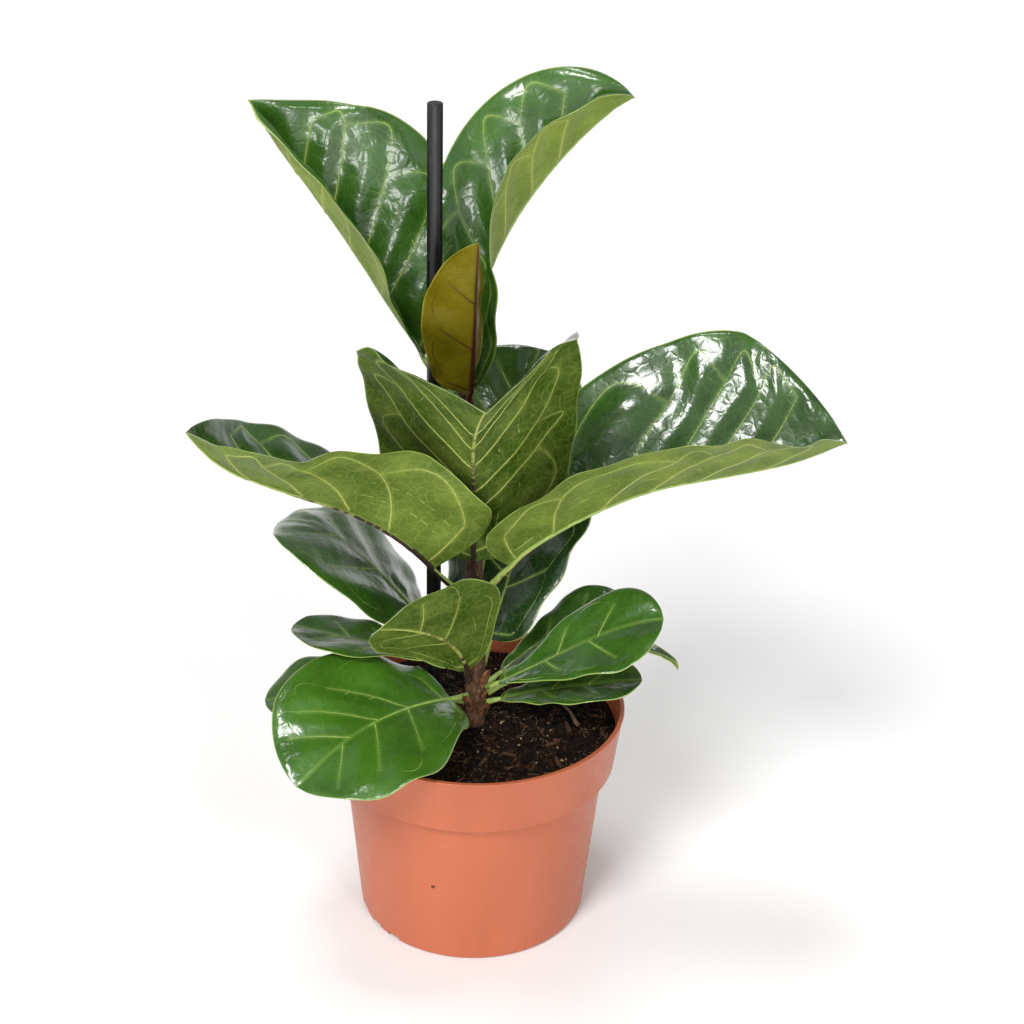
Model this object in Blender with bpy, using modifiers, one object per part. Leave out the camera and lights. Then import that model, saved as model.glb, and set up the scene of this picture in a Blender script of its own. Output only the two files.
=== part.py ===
"""Potted fiddle leaf fig: a plastic grow pot, its soil, a stem with its leaves, and a support stake.

Metres, +Z up. The origin is the middle of the pot's underside, and the plant's front faces -Y.
Leaf sizes are in millimetres and their angles in degrees, and each is turned into metres once.
"""

from dataclasses import dataclass
import math

import bmesh
import bpy
from mathutils import Matrix, Vector
import numpy as np

MM = 0.001
GAP = 0.3 * MM  # clearance between pieces that touch
NAME = "potted_fiddle_leaf_fig"

# Pot
POT_HEIGHT = 132 * MM
RIM_RADIUS = 85 * MM
BASE_RADIUS = 65.5 * MM
WALL = 1.8 * MM
COLLAR_HEIGHT = 34 * MM  # the wider band below the rim
COLLAR_STEP = 5.8 * MM  # how far the band stands out from the body below it
COLLAR_TAPER = 4 * MM  # how much the band narrows from rim to step
LIP = 0.6 * MM  # bead round the rim
BASE_ROUND = 3 * MM
BASE_ROUND_STEPS = 3
FLOOR = 2 * MM
FOOT_WIDTH = 6 * MM
CHANNEL_HEIGHT = 4 * MM  # drainage channel under the floor, between foot ring and middle pad
PAD_RADIUS = 28 * MM
DRAIN_HOLES = 6
DRAIN_RADIUS = 4 * MM
DRAIN_SIDES = 16
SLOT_HEADINGS = (200, 214, 228, 20, 34, 48)  # degrees, openings through the foot ring
SLOT_WIDTH = 9 * MM
SLOT_HEIGHT = 3.2 * MM
POT_STEPS = 56
CUT_OVERSHOOT = 20 * MM  # cutters run this far past the face that they open
MERGE_DISTANCE = 0.01 * MM

# Soil
SOIL_DROP = 15 * MM  # soil surface below the rim
SOIL_MOUND = 1.5 * MM
SOIL_SHOULDER = (0.5, 0.7)  # shares of the soil's radius and of its mound, where the mound eases off
SOIL_TOP = POT_HEIGHT - SOIL_DROP

# Stem
STEM_RADIUS_BASE = 6 * MM
STEM_RADIUS_TIP = 3.6 * MM
STEM_LEAN = -8 * MM  # sideways shift of the tip
STEM_TIP_MARGIN = 5 * MM  # stem above the highest leaf
STEM_SECTIONS = 14
STEM_ROUNDNESS = 4  # bevel steps round its section
ROOT_DEPTH = 35 * MM

# Support stake
STAKE_RADIUS = 4 * MM
STAKE_FOOT = Vector((-24.5 * MM, 14 * MM, SOIL_TOP))
STAKE_SHIFT = Vector((-0.5 * MM, -20 * MM))  # from the soil to its top
STAKE_REACH = 363 * MM  # height above the soil
STAKE_STAND_OFF = 16 * MM  # from the pot's floor up to the stake's lower end
STAKE_DEPTH = SOIL_TOP - CHANNEL_HEIGHT - FLOOR - STAKE_STAND_OFF
STAKE_BEVEL = 0.5 * MM
STAKE_SIDES = 16
SOCKET_SIDES = 20

# Leaf build
PETIOLE_RADIUS_BASE = 2.1
PETIOLE_RADIUS_BLADE = 1.5
RIB_TIP = 0.5
BLADE_THICKNESS = 1.2
HALF_COLUMNS = 3  # strips across each half of a blade
BLADE_ROWS = 10
PETIOLE_ROWS = 3
PETIOLE_END = 0.96  # last petiole section, as a share of the petiole
BLADE_START = 0.03  # first blade section, as a share of the blade
TRAIL_REACH = 0.35  # share of the blade over which the base lobes reach back
TRAIL_POWER = 1.5  # how late across the half the reaching back begins
MARGIN_POWER = 3  # how late across the half the blade thins to its margin
TIP_POWER = 2.2  # how late along the blade its tip draws in
MIDRIB_STEPS = 240


@dataclass
class Leaf:
    """A leaf, in millimetres and degrees. Angle lists run evenly from the stem to the tip."""

    name: str
    node: float  # height of its base above the soil
    heading: tuple  # direction of the midrib in plan, 0 along +X and 90 along +Y
    rise: tuple  # slope of the midrib above the horizontal
    petiole: float
    length: float  # blade, along the midrib
    left: float  # greatest half-widths, seen from the stem with the upper side up
    right: float
    fold_left: tuple  # how far each half is raised from the flat blade
    fold_right: tuple
    waist: float  # width of the lower blade against its greatest width
    broad: float  # where along the blade it is widest
    blunt: float = 0.55  # power of the tip's outline: 0.5 is round, 1 pointed
    lobe: float = 0.12  # length of the rounded base against the blade
    twist: tuple = (0,)  # turn about the midrib, right half up
    trail: float = 0  # how far the base lobes reach back past the petiole's end
    finish: str = "leaf_green"


CROWN = (
    Leaf("leaf_crown_left", 195, (140, 160, 175, 180, 180, 180), (40, 50, 58, 56, 54, 66), 34, 162,
         44, 66, (35, 28), (75, 88), 0.6, 0.5, blunt=0.9),
    Leaf("leaf_crown_right", 197, (80, 60, 25, 5, 0, 0), (80, 77, 66, 56, 48, 36), 8, 182,
         50, 42, (70, 72, 78, 78), (20, 35, 44, 44), 0.25, 0.64, blunt=0.6),
    Leaf("leaf_young_bronze", 201, (-80, -80, -65), (60, 76, 84, 84), 10, 90,
         18, 27, (70, 60), (8, 8), 0.7, 0.5, finish="leaf_bronze"),
)
UPPER = (
    Leaf("leaf_upper_front", 100, (-92, -90, -78), (80, 62, 42, 36), 10, 171,
         76, 74, (8, 34, 46, 40), (8, 30, 40, 36), 0.62, 0.68, blunt=0.45, lobe=0.3),
    Leaf("leaf_upper_left", 86, (230, 205, 190, 186), (40, 52, 38, 22, 24, 62), 36, 162,
         62, 50, (68, 66, 40, 35), (8, 20), 0.75, 0.6, blunt=0.6, trail=12),
    Leaf("leaf_upper_right", 88, (-8, 0, 0), (56, 38, 28, 12, 14, 32), 20, 198,
         80, 68, (55, 62), (55, 36), 0.6, 0.66, blunt=0.5),
    Leaf("leaf_upper_back", 95, (68, 66, 60), (62, 58, 48), 15, 115,
         46, 44, (15,), (15,), 0.6, 0.65),
)
MIDDLE = (
    Leaf("leaf_middle_left", 47, (178, 168, 165), (36, 48, 45, 30, -25), 32, 102,
         46, 46, (2,), (-8,), 0.75, 0.5),
    Leaf("leaf_middle_back", 35, (60,), (60, 55, 50), 15, 122,
         50, 40, (10,), (10,), 0.6, 0.65),
    Leaf("leaf_middle_front", 33, (-115, -125, -130), (74, 52, 36, 28, 20), 8, 102,
         44, 30, (12,), (10,), 0.4, 0.52, blunt=0.7, twist=(-45, -50), lobe=0.2),
)
LOWER = (
    Leaf("leaf_lower_left_small", 42, (186, 172, 163), (12, 8, 2), 16, 84,
         22, 20, (5,), (5,), 0.3, 0.64),
    Leaf("leaf_lower_left", 16, (-166, -173, -178), (16, 10, -2, -14), 10, 104,
         28, 36, (0,), (6,), 0.35, 0.6),
    Leaf("leaf_lower_front", 21, (-138,), (12, 12, 2, -8, -24, -28), 12, 111,
         52, 52, (-5,), (26,), 0.5, 0.52, blunt=0.6, lobe=0.1),
    Leaf("leaf_lower_right", 26, (-22, -10, -8), (36, 36, 32, 14), 8, 107,
         25, 30, (10,), (5,), 0.2, 0.74, twist=(-25,)),
    Leaf("leaf_lower_right_rear", 26, (22, 17, 17), (34, 30, 22), 10, 81,
         19, 18, (25, 20), (10,), 0.25, 0.72),
    Leaf("leaf_lower_right_under", 16, (-14, -12, -7), (24, 17, 10), 8, 84,
         20, 20, (20,), (0,), 0.3, 0.62),
    Leaf("leaf_lower_right_narrow", 20, (14, 7, 0), (30, 22, 12, -8, -42), 25, 92,
         8, 8, (60,), (60,), 0.7, 0.5),
)
SHEATHS = (
    Leaf("bud_sheath", 204, (150,), (70, 84), 3, 20,
         3.5, 3.5, (45,), (45,), 0.9, 0.4, blunt=0.9, finish="dry_sheath"),
    Leaf("stipule_front", 26, (-60,), (55, 75), 3, 17,
         3.5, 3.5, (35,), (35,), 0.9, 0.4, blunt=0.9, finish="dry_sheath"),
    Leaf("stipule_left", 12, (-112,), (50, 70), 3, 16,
         3.5, 3.5, (35,), (35,), 0.9, 0.4, blunt=0.9, finish="dry_sheath"),
    Leaf("stipule_right", 9, (-66,), (45, 65), 3, 15,
         3.5, 3.5, (35,), (35,), 0.9, 0.4, blunt=0.9, finish="dry_sheath"),
)
LEAVES = CROWN + UPPER + MIDDLE + LOWER
STEM_TIP = SOIL_TOP + max(leaf.node for leaf in LEAVES) * MM + STEM_TIP_MARGIN

FINISHES = {
    "pot_plastic": ((0.60, 0.20, 0.10, 1), 0.45),
    "soil": ((0.03, 0.02, 0.014, 1), 0.95),
    "stem_bark": ((0.13, 0.07, 0.03, 1), 0.8),
    "stake_plastic": ((0.01, 0.01, 0.01, 1), 0.4),
    "leaf_green": ((0.03, 0.13, 0.02, 1), 0.3),
    "leaf_bronze": ((0.16, 0.13, 0.01, 1), 0.4),
    "dry_sheath": ((0.22, 0.10, 0.04, 1), 0.8),
}


def clear_scene():
    for obj in list(bpy.data.objects):
        bpy.data.objects.remove(obj, do_unlink=True)


def new_collection(name):
    collection = bpy.data.collections.new(name)
    bpy.context.scene.collection.children.link(collection)
    return collection


def make_material(name):
    colour, roughness = FINISHES[name]
    material = bpy.data.materials.new(name)
    material.use_nodes = True
    shader = material.node_tree.nodes["Principled BSDF"]
    shader.inputs["Base Color"].default_value = colour
    shader.inputs["Roughness"].default_value = roughness
    return material


def add_object(name, data, collection, finish=None):
    obj = bpy.data.objects.new(name, data)
    collection.objects.link(obj)
    if finish:
        material = bpy.data.materials.get(finish) or make_material(finish)
        obj.data.materials.append(material)
    return obj


def turned(name, outline, collection, finish, steps):
    """A solid of revolution. The outline runs from the axis, down the outer side, back to the axis."""
    mesh = bpy.data.meshes.new(name)
    points = [(radius, 0, height) for radius, height in outline]
    mesh.from_pydata(points, [(i, i + 1) for i in range(len(points) - 1)], [])
    obj = add_object(name, mesh, collection, finish)
    screw = obj.modifiers.new("Turn", "SCREW")
    screw.steps = steps
    screw.render_steps = steps
    screw.use_merge_vertices = True
    screw.merge_threshold = MERGE_DISTANCE
    screw.use_smooth_shade = True
    return obj


def cylinder_mesh(name, radius, depth, segments, sink=0.0):
    """An upright cylinder whose lower face is `sink` below its origin."""
    mesh = bpy.data.meshes.new(name)
    shape = bmesh.new()
    bmesh.ops.create_cone(shape, cap_ends=True, segments=segments, radius1=radius, radius2=radius,
                          depth=depth, matrix=Matrix.Translation((0, 0, depth / 2 - sink)))
    shape.to_mesh(mesh)
    shape.free()
    return mesh


def cut(obj, cutter):
    cutter.hide_render = True
    cutter.display_type = "WIRE"
    boolean = obj.modifiers.new("Cut " + cutter.name, "BOOLEAN")
    boolean.operation = "DIFFERENCE"
    boolean.solver = "EXACT"
    boolean.object = cutter


# Pot ---------------------------------------------------------------------------------------------

COLLAR_FOOT = POT_HEIGHT - COLLAR_HEIGHT
COLLAR_RADIUS = RIM_RADIUS - LIP - COLLAR_TAPER  # outer radius of the band at its lower edge
BODY_RADIUS = COLLAR_RADIUS - COLLAR_STEP  # outer radius of the body where it meets the band
FLOOR_TOP = CHANNEL_HEIGHT + FLOOR


def body_radius(height):
    """Outer radius of the tapered body."""
    return BASE_RADIUS + (BODY_RADIUS - BASE_RADIUS) * height / COLLAR_FOOT


def inner_wall():
    """Inside of the pot from the floor up to the rim, as (radius, height)."""
    return [
        (body_radius(FLOOR_TOP) - WALL, FLOOR_TOP),
        (BODY_RADIUS - WALL, COLLAR_FOOT + WALL),
        (COLLAR_RADIUS - WALL, COLLAR_FOOT + WALL),
        (RIM_RADIUS - LIP - WALL, POT_HEIGHT),
    ]


def make_pot(parts, cutters):
    lip_foot = POT_HEIGHT - 2 * LIP
    outline = [(0, FLOOR), (PAD_RADIUS, FLOOR), (PAD_RADIUS + CHANNEL_HEIGHT, FLOOR_TOP)]
    outline += inner_wall()
    outline += [
        (RIM_RADIUS - 0.4 * LIP, POT_HEIGHT),
        (RIM_RADIUS, POT_HEIGHT - 0.5 * LIP),
        (RIM_RADIUS, lip_foot + 0.5 * LIP),
        (RIM_RADIUS - LIP, lip_foot),
        (COLLAR_RADIUS, COLLAR_FOOT + 0.5 * WALL),
        (COLLAR_RADIUS - 0.5 * WALL, COLLAR_FOOT),
        (BODY_RADIUS, COLLAR_FOOT),
    ]
    for step in range(BASE_ROUND_STEPS + 1):  # down the body and round its lower edge
        angle = math.radians(90 * step / BASE_ROUND_STEPS)
        outline.append((
            body_radius(BASE_ROUND) - BASE_ROUND * (1 - math.cos(angle)),
            BASE_ROUND * (1 - math.sin(angle)),
        ))
    foot_inside = BASE_RADIUS - BASE_ROUND - FOOT_WIDTH
    outline += [
        (foot_inside, 0),
        (foot_inside - 0.5 * CHANNEL_HEIGHT, CHANNEL_HEIGHT),
        (PAD_RADIUS + CHANNEL_HEIGHT, CHANNEL_HEIGHT),
        (PAD_RADIUS, 0),
        (0, 0),
    ]
    pot = turned("pot", outline, parts, "pot_plastic", POT_STEPS)

    hole_circle = (PAD_RADIUS + CHANNEL_HEIGHT + foot_inside) / 2
    drill = cylinder_mesh("drain_drill", DRAIN_RADIUS, FLOOR_TOP + 2 * CUT_OVERSHOOT, DRAIN_SIDES,
                          sink=CUT_OVERSHOOT)
    for index in range(DRAIN_HOLES):
        angle = math.tau * (index + 0.5) / DRAIN_HOLES
        cutter = add_object(f"drain_cutter_{index}", drill, cutters)
        cutter.location = (hole_circle * math.cos(angle), hole_circle * math.sin(angle), 0)
        cut(pot, cutter)
    for index, heading in enumerate(SLOT_HEADINGS):
        mesh = bpy.data.meshes.new(f"slot_cutter_{index}")
        shape = bmesh.new()
        bmesh.ops.create_cube(shape, size=1)
        reach = 2 * (BASE_RADIUS - foot_inside + CHANNEL_HEIGHT)
        bmesh.ops.scale(shape, verts=shape.verts, vec=(reach, SLOT_WIDTH, 2 * SLOT_HEIGHT))
        bmesh.ops.translate(shape, verts=shape.verts, vec=(BASE_RADIUS, 0, 0))
        shape.to_mesh(mesh)
        shape.free()
        cutter = add_object(mesh.name, mesh, cutters)
        cutter.rotation_euler = (0, 0, math.radians(heading))
        cut(pot, cutter)


# Soil, stem and stake ----------------------------------------------------------------------------

def stem_centre(height):
    """Middle of the stem at a height above the floor: it leans a little more the higher it gets."""
    share = max(0.0, (height - SOIL_TOP) / (STEM_TIP - SOIL_TOP))
    return Vector((STEM_LEAN * share * share, 0, height))


def stem_radius(height):
    share = min(1.0, max(0.0, (height - SOIL_TOP) / (STEM_TIP - SOIL_TOP)))
    return STEM_RADIUS_BASE + (STEM_RADIUS_TIP - STEM_RADIUS_BASE) * share


def stake_rotation():
    lean = Vector((STAKE_SHIFT.x, STAKE_SHIFT.y, STAKE_REACH))
    return lean.to_track_quat("Z", "Y").to_euler()


def make_soil(parts, cutters):
    """The root ball and its compost, shaped by the inside of the pot."""
    low, ledge_inside, ledge_outside, mouth = inner_wall()
    top_radius = np.interp(SOIL_TOP, (ledge_outside[1], mouth[1]), (ledge_outside[0], mouth[0]))
    outline = [
        (0, SOIL_TOP + SOIL_MOUND),
        (SOIL_SHOULDER[0] * top_radius, SOIL_TOP + SOIL_SHOULDER[1] * SOIL_MOUND),
        (top_radius - GAP, SOIL_TOP),
        (ledge_outside[0] - GAP, ledge_outside[1] + GAP),
        (ledge_inside[0] - GAP, ledge_inside[1] + GAP),
        (low[0] - GAP, low[1] + GAP),
        (PAD_RADIUS + CHANNEL_HEIGHT - GAP, FLOOR_TOP + GAP),
        (PAD_RADIUS - GAP, FLOOR + GAP),
        (0, FLOOR + GAP),
    ]
    soil = turned("soil", outline, parts, "soil", POT_STEPS)

    mesh = cylinder_mesh("stem_socket_cutter", STEM_RADIUS_BASE + GAP, ROOT_DEPTH + CUT_OVERSHOOT,
                         SOCKET_SIDES, sink=ROOT_DEPTH + GAP)
    socket = add_object(mesh.name, mesh, cutters)
    socket.location = (0, 0, SOIL_TOP)
    cut(soil, socket)

    mesh = cylinder_mesh("stake_hole_cutter", STAKE_RADIUS + GAP, STAKE_DEPTH + CUT_OVERSHOOT,
                         SOCKET_SIDES, sink=STAKE_DEPTH + GAP)
    hole = add_object(mesh.name, mesh, cutters)
    hole.location = STAKE_FOOT
    hole.rotation_euler = stake_rotation()
    cut(soil, hole)


def make_stem(parts):
    curve = bpy.data.curves.new("stem", "CURVE")
    curve.dimensions = "3D"
    curve.bevel_depth = 1.0  # each point's own radius scales it
    curve.bevel_resolution = STEM_ROUNDNESS
    curve.use_fill_caps = True
    heights = [SOIL_TOP - ROOT_DEPTH] + list(np.linspace(SOIL_TOP - GAP, STEM_TIP, STEM_SECTIONS))
    spline = curve.splines.new("POLY")
    spline.points.add(len(heights) - 1)
    for point, height in zip(spline.points, heights):
        point.co = (*stem_centre(height), 1)
        point.radius = stem_radius(height)
    add_object("stem", curve, parts, "stem_bark")


def make_stake(parts):
    mesh = cylinder_mesh("support_stake", STAKE_RADIUS, STAKE_DEPTH + STAKE_REACH, STAKE_SIDES,
                         sink=STAKE_DEPTH)
    stake = add_object("support_stake", mesh, parts, "stake_plastic")
    stake.location = STAKE_FOOT
    stake.rotation_euler = stake_rotation()
    bevel = stake.modifiers.new("Edge", "BEVEL")
    bevel.width = STAKE_BEVEL
    bevel.segments = 1
    bevel.limit_method = "ANGLE"


# Leaves ------------------------------------------------------------------------------------------

def along(values, share):
    """Values spread evenly from 0 to 1, read at the given shares."""
    return np.interp(share, np.linspace(0, 1, len(values)), values)


def half_width(leaf, share):
    """Outline of the blade against its greatest half-width: rounded base, waist, broad end, tip."""
    rising = np.clip(share / leaf.broad, 0, 1)
    body = leaf.waist + (1 - leaf.waist) * rising**2 * (3 - 2 * rising)
    base = np.sqrt(1 - (1 - np.clip(share / leaf.lobe, 0, 1)) ** 2)
    ending = np.clip((share - leaf.broad) / (1 - leaf.broad), 0, 1)
    return body * base * (1 - ending**TIP_POWER) ** leaf.blunt


def midrib(leaf, share):
    """Points of the midrib and its three directions: along, to the right, and up from the blade."""
    total = leaf.petiole + leaf.length
    steps = np.linspace(0, 1, MIDRIB_STEPS + 1)

    def directions(at):
        heading = np.radians(along(leaf.heading, at))
        rise = np.radians(along(leaf.rise, at))
        forward = np.stack([np.cos(rise) * np.cos(heading), np.cos(rise) * np.sin(heading),
                            np.sin(rise)], 1)
        side = np.stack([np.sin(heading), -np.cos(heading), 0 * heading], 1)
        up = np.stack([-np.sin(rise) * np.cos(heading), -np.sin(rise) * np.sin(heading),
                       np.cos(rise)], 1)
        return forward, side, up

    forward = directions(steps)[0]
    strides = (forward[1:] + forward[:-1]) / 2 * total / MIDRIB_STEPS
    height = SOIL_TOP + leaf.node * MM
    heading, rise = math.radians(leaf.heading[0]), math.radians(leaf.rise[0])
    stand_off = (stem_radius(height) + GAP) / MM + PETIOLE_RADIUS_BASE * math.sin(rise)
    start = np.array(stem_centre(height)) / MM
    start += stand_off * np.array([math.cos(heading), math.sin(heading), 0])
    path = start + np.concatenate([np.zeros((1, 3)), np.cumsum(strides, 0)])
    points = np.stack([np.interp(share, steps, path[:, axis]) for axis in range(3)], 1)

    forward, side, up = directions(share)
    blade_share = np.clip((share * total - leaf.petiole) / leaf.length, 0, 1)
    twist = np.radians(along(leaf.twist, blade_share))[:, None]
    side, up = np.cos(twist) * side + np.sin(twist) * up, np.cos(twist) * up - np.sin(twist) * side
    return points, forward, side, up


def petiole_rings(leaf, count):
    """Round sections from the stem to just short of the blade."""
    last = PETIOLE_END * leaf.petiole / (leaf.petiole + leaf.length)
    shares = np.linspace(0, last, PETIOLE_ROWS)
    points, _, side, up = midrib(leaf, shares)
    radii = np.linspace(PETIOLE_RADIUS_BASE, PETIOLE_RADIUS_BLADE, PETIOLE_ROWS)
    angles = math.pi - math.tau * np.arange(count) / count
    return [
        points[row] + radii[row] * (np.outer(np.cos(angles), side[row])
                                    + np.outer(np.sin(angles), up[row]))
        for row in range(PETIOLE_ROWS)
    ]


def blade_rings(leaf):
    """Folded sections of the blade: across its upper side from left to right, and back below."""
    share = np.linspace(BLADE_START, 1, BLADE_ROWS + 1)[:-1]
    total = leaf.petiole + leaf.length
    points, forward, side, up = midrib(leaf, (leaf.petiole + leaf.length * share) / total)
    outline = half_width(leaf, share)
    spread = np.linspace(0, 1, HALF_COLUMNS + 1)
    reach_back = leaf.trail * outline * np.clip(1 - share / TRAIL_REACH, 0, 1) ** 2
    half = BLADE_THICKNESS / 2 * (1 - spread**MARGIN_POWER)  # thins to the margin
    rib = RIB_TIP + (PETIOLE_RADIUS_BLADE - RIB_TIP) * (1 - share)
    sheets = {}
    for name, sign, width, folds in (("left", -1, leaf.left, leaf.fold_left),
                                     ("right", 1, leaf.right, leaf.fold_right)):
        fold = np.radians(along(folds, share))[:, None]
        outward = sign * np.cos(fold) * side + np.sin(fold) * up
        normal = -sign * np.sin(fold) * side + np.cos(fold) * up
        reach_out = (width * outline)[:, None, None] * spread[:, None] * outward[:, None]
        sheet = points[:, None] + reach_out
        sheet -= reach_back[:, None, None] * (spread**TRAIL_POWER)[:, None] * forward[:, None]
        thick = half[:, None] * normal[:, None]
        sheets[name] = sheet + thick, sheet - thick
    rings = []
    for row in range(BLADE_ROWS):
        (left_top, left_under), (right_top, right_under) = (
            (top[row], under[row]) for top, under in (sheets["left"], sheets["right"]))
        spine_top = points[row] + up[row] * half[0]
        spine_under = points[row] - up[row] * (half[0] + rib[row])
        rings.append(np.concatenate([
            left_top[:0:-1], [spine_top], right_top[1:],
            right_under[-2:0:-1], [spine_under], left_under[1:-1],
        ]))
    return rings


def make_leaf(leaf, parts):
    """One closed body, lofted from the round petiole into the folded blade."""
    count = 4 * HALF_COLUMNS
    rings = petiole_rings(leaf, count) + blade_rings(leaf)
    tip = midrib(leaf, np.array([1.0]))[0][0]
    shape = bmesh.new()
    rows = [[shape.verts.new(Vector(point) * MM) for point in ring] for ring in rings]
    end = shape.verts.new(Vector(tip) * MM)
    for lower, upper in zip(rows, rows[1:]):
        for i in range(count):
            j = (i + 1) % count
            shape.faces.new((lower[i], lower[j], upper[j], upper[i]))
    shape.faces.new(rows[0])
    for i in range(count):
        shape.faces.new((rows[-1][i], rows[-1][(i + 1) % count], end))
    bmesh.ops.recalc_face_normals(shape, faces=shape.faces)
    bmesh.ops.triangulate(shape, faces=shape.faces)
    mesh = bpy.data.meshes.new(leaf.name)
    shape.to_mesh(mesh)
    shape.free()
    mesh.shade_smooth()
    add_object(leaf.name, mesh, parts, leaf.finish)


def main():
    clear_scene()
    parts = new_collection(NAME)
    cutters = new_collection(NAME + "_cutters")
    make_pot(parts, cutters)
    make_soil(parts, cutters)
    make_stem(parts)
    make_stake(parts)
    for leaf in LEAVES + SHEATHS:
        make_leaf(leaf, parts)


main()
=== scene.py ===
"""Potted fiddle leaf fig: the visual model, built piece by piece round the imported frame.

Metres, +Z up, the plant's front faces -Y. Leaves are worked out in millimetres, as flat sheets with
their vein network, then folded along their midribs and turned into metres once.
"""

from dataclasses import dataclass
import math

import bmesh
import bpy
from bpy.props import FloatProperty, FloatVectorProperty, IntProperty, PointerProperty
from mathutils import Matrix, Vector, kdtree, noise
import numpy as np


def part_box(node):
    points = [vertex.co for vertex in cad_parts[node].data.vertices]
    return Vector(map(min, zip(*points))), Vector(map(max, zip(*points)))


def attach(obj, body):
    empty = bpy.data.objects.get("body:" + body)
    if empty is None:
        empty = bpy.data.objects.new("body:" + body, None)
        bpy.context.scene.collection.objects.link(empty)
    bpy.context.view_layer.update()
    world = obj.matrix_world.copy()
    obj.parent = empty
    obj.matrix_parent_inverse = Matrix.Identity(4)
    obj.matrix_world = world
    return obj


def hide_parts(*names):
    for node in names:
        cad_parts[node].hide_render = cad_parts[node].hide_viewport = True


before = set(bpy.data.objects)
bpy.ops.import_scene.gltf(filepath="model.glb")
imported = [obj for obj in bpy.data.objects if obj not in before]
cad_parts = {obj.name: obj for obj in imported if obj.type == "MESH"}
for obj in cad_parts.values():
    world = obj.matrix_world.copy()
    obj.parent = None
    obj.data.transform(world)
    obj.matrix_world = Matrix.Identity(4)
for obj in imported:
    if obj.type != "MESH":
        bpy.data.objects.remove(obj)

bl_info = {
    "name": "Potted Fiddle Leaf Fig",
    "version": (1, 0, 0),
    "blender": (4, 5, 0),
    "location": "View3D > Sidebar > Fig",
    "description": "Builds a young fiddle leaf fig in a plastic grow pot, with a support stake",
    "category": "Add Mesh",
}

MM = 0.001
POT_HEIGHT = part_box("pot")[1].z
RIM_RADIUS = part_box("pot")[1].x
STEM_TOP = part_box("stem")[1].z
STEM_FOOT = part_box("stem")[0].z
GAP = 0.3  # mm between pieces that touch
TINY = 1e-12  # keeps a division by a length away from zero


def linear(code, alpha=1.0):
    """An sRGB hex colour as linear RGBA."""
    channels = [int(code[i:i + 2], 16) / 255 for i in (1, 3, 5)]
    return tuple(c / 12.92 if c <= 0.04045 else ((c + 0.055) / 1.055) ** 2.4
                 for c in channels) + (alpha,)


def colour(name, description, code):
    return FloatVectorProperty(name=name, description=description, default=linear(code), size=4,
                               min=0, max=1, subtype="COLOR")


def length(name, description, millimetres):
    return FloatProperty(name=name, description=description, default=millimetres * MM,
                         min=0, unit="LENGTH")


# Settings ----------------------------------------------------------------------------------------

class FigPotSettings(bpy.types.PropertyGroup):
    base_radius: length("Base radius", "Outer radius of the body at the foot", 65.5)
    wall: length("Wall", "Thickness of the moulded wall", 1.8)
    collar_height: length("Band height", "Height of the wider band below the rim", 34)
    collar_step: length("Band step", "How far the band stands out from the body", 5.8)
    collar_taper: length("Band taper", "How much the band narrows from rim to step", 4)
    lip: length("Rim bead", "Radius of the bead round the rim", 0.6)
    base_round: length("Base rounding", "Radius at the foot", 3)
    floor: length("Floor", "Thickness of the floor", 2)
    channel: length("Channel", "Height of the drainage channel under the floor", 4)
    pad_radius: length("Pad radius", "Radius of the flat middle of the underside", 28)
    foot_width: length("Foot width", "Width of the ring that the pot stands on", 6)
    steps: IntProperty(name="Steps", description="Divisions round the pot", default=192, min=24)
    terracotta: colour("Terracotta", "Colour of the plastic", "#B4603F")
    terracotta_deep: colour("Deep terracotta", "Its darker flow marks", "#AB593A")
    # colour of the gate scar: painted shade, dark as the shadow in a small recess
    gate_shade: colour("Burnt", "Plastic scorched where it entered the mould", "#6E2F1C")
    scuff: colour("Scuff", "Pale rubbed plastic", "#D8977C")


class FigSoilSettings(bpy.types.PropertyGroup):
    drop: length("Drop", "From the rim down to the soil", 15)
    crumbs: IntProperty(name="Crumbs", description="Loose crumbs of peat", default=2600, min=0)
    fibres: IntProperty(name="Fibres", description="Root and peat fibres", default=190, min=0)
    peat: colour("Peat", "Damp peat", "#1B0F08")
    peat_wet: colour("Wet peat", "Peat where it is wettest", "#0B0705")
    peat_light: colour("Light peat", "Drier crumbs", "#50301A")
    fibre: colour("Fibre", "Root fibres", "#8A6C4C")
    mineral: colour("Mineral", "Pale mineral grains", "#B39B74")


class FigStemSettings(bpy.types.PropertyGroup):
    base_radius: length("Base radius", "Stem at the soil", 6)
    tip_radius: length("Tip radius", "Stem at its tip", 3.6)
    bark: colour("Bark", "Young brown bark", "#6B4A30")
    bark_dark: colour("Dark bark", "Its furrows", "#3B2517")
    cork: colour("Cork", "Corky specks", "#A58562")
    sheath: colour("Sheath", "Dry papery scales", "#8A5A36")
    sheath_dark: colour("Dark sheath", "Their veins and edges", "#4A2A1A")


class FigStakeSettings(bpy.types.PropertyGroup):
    radius: length("Radius", "Half the stake's thickness", 4)
    chamfer: length("Chamfer", "Bevel round the cut end", 0.5)
    black: colour("Black", "Colour of the plastic", "#0F0F11")
    dust: colour("Dust", "Pale dust on it", "#3A3A3C")


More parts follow.
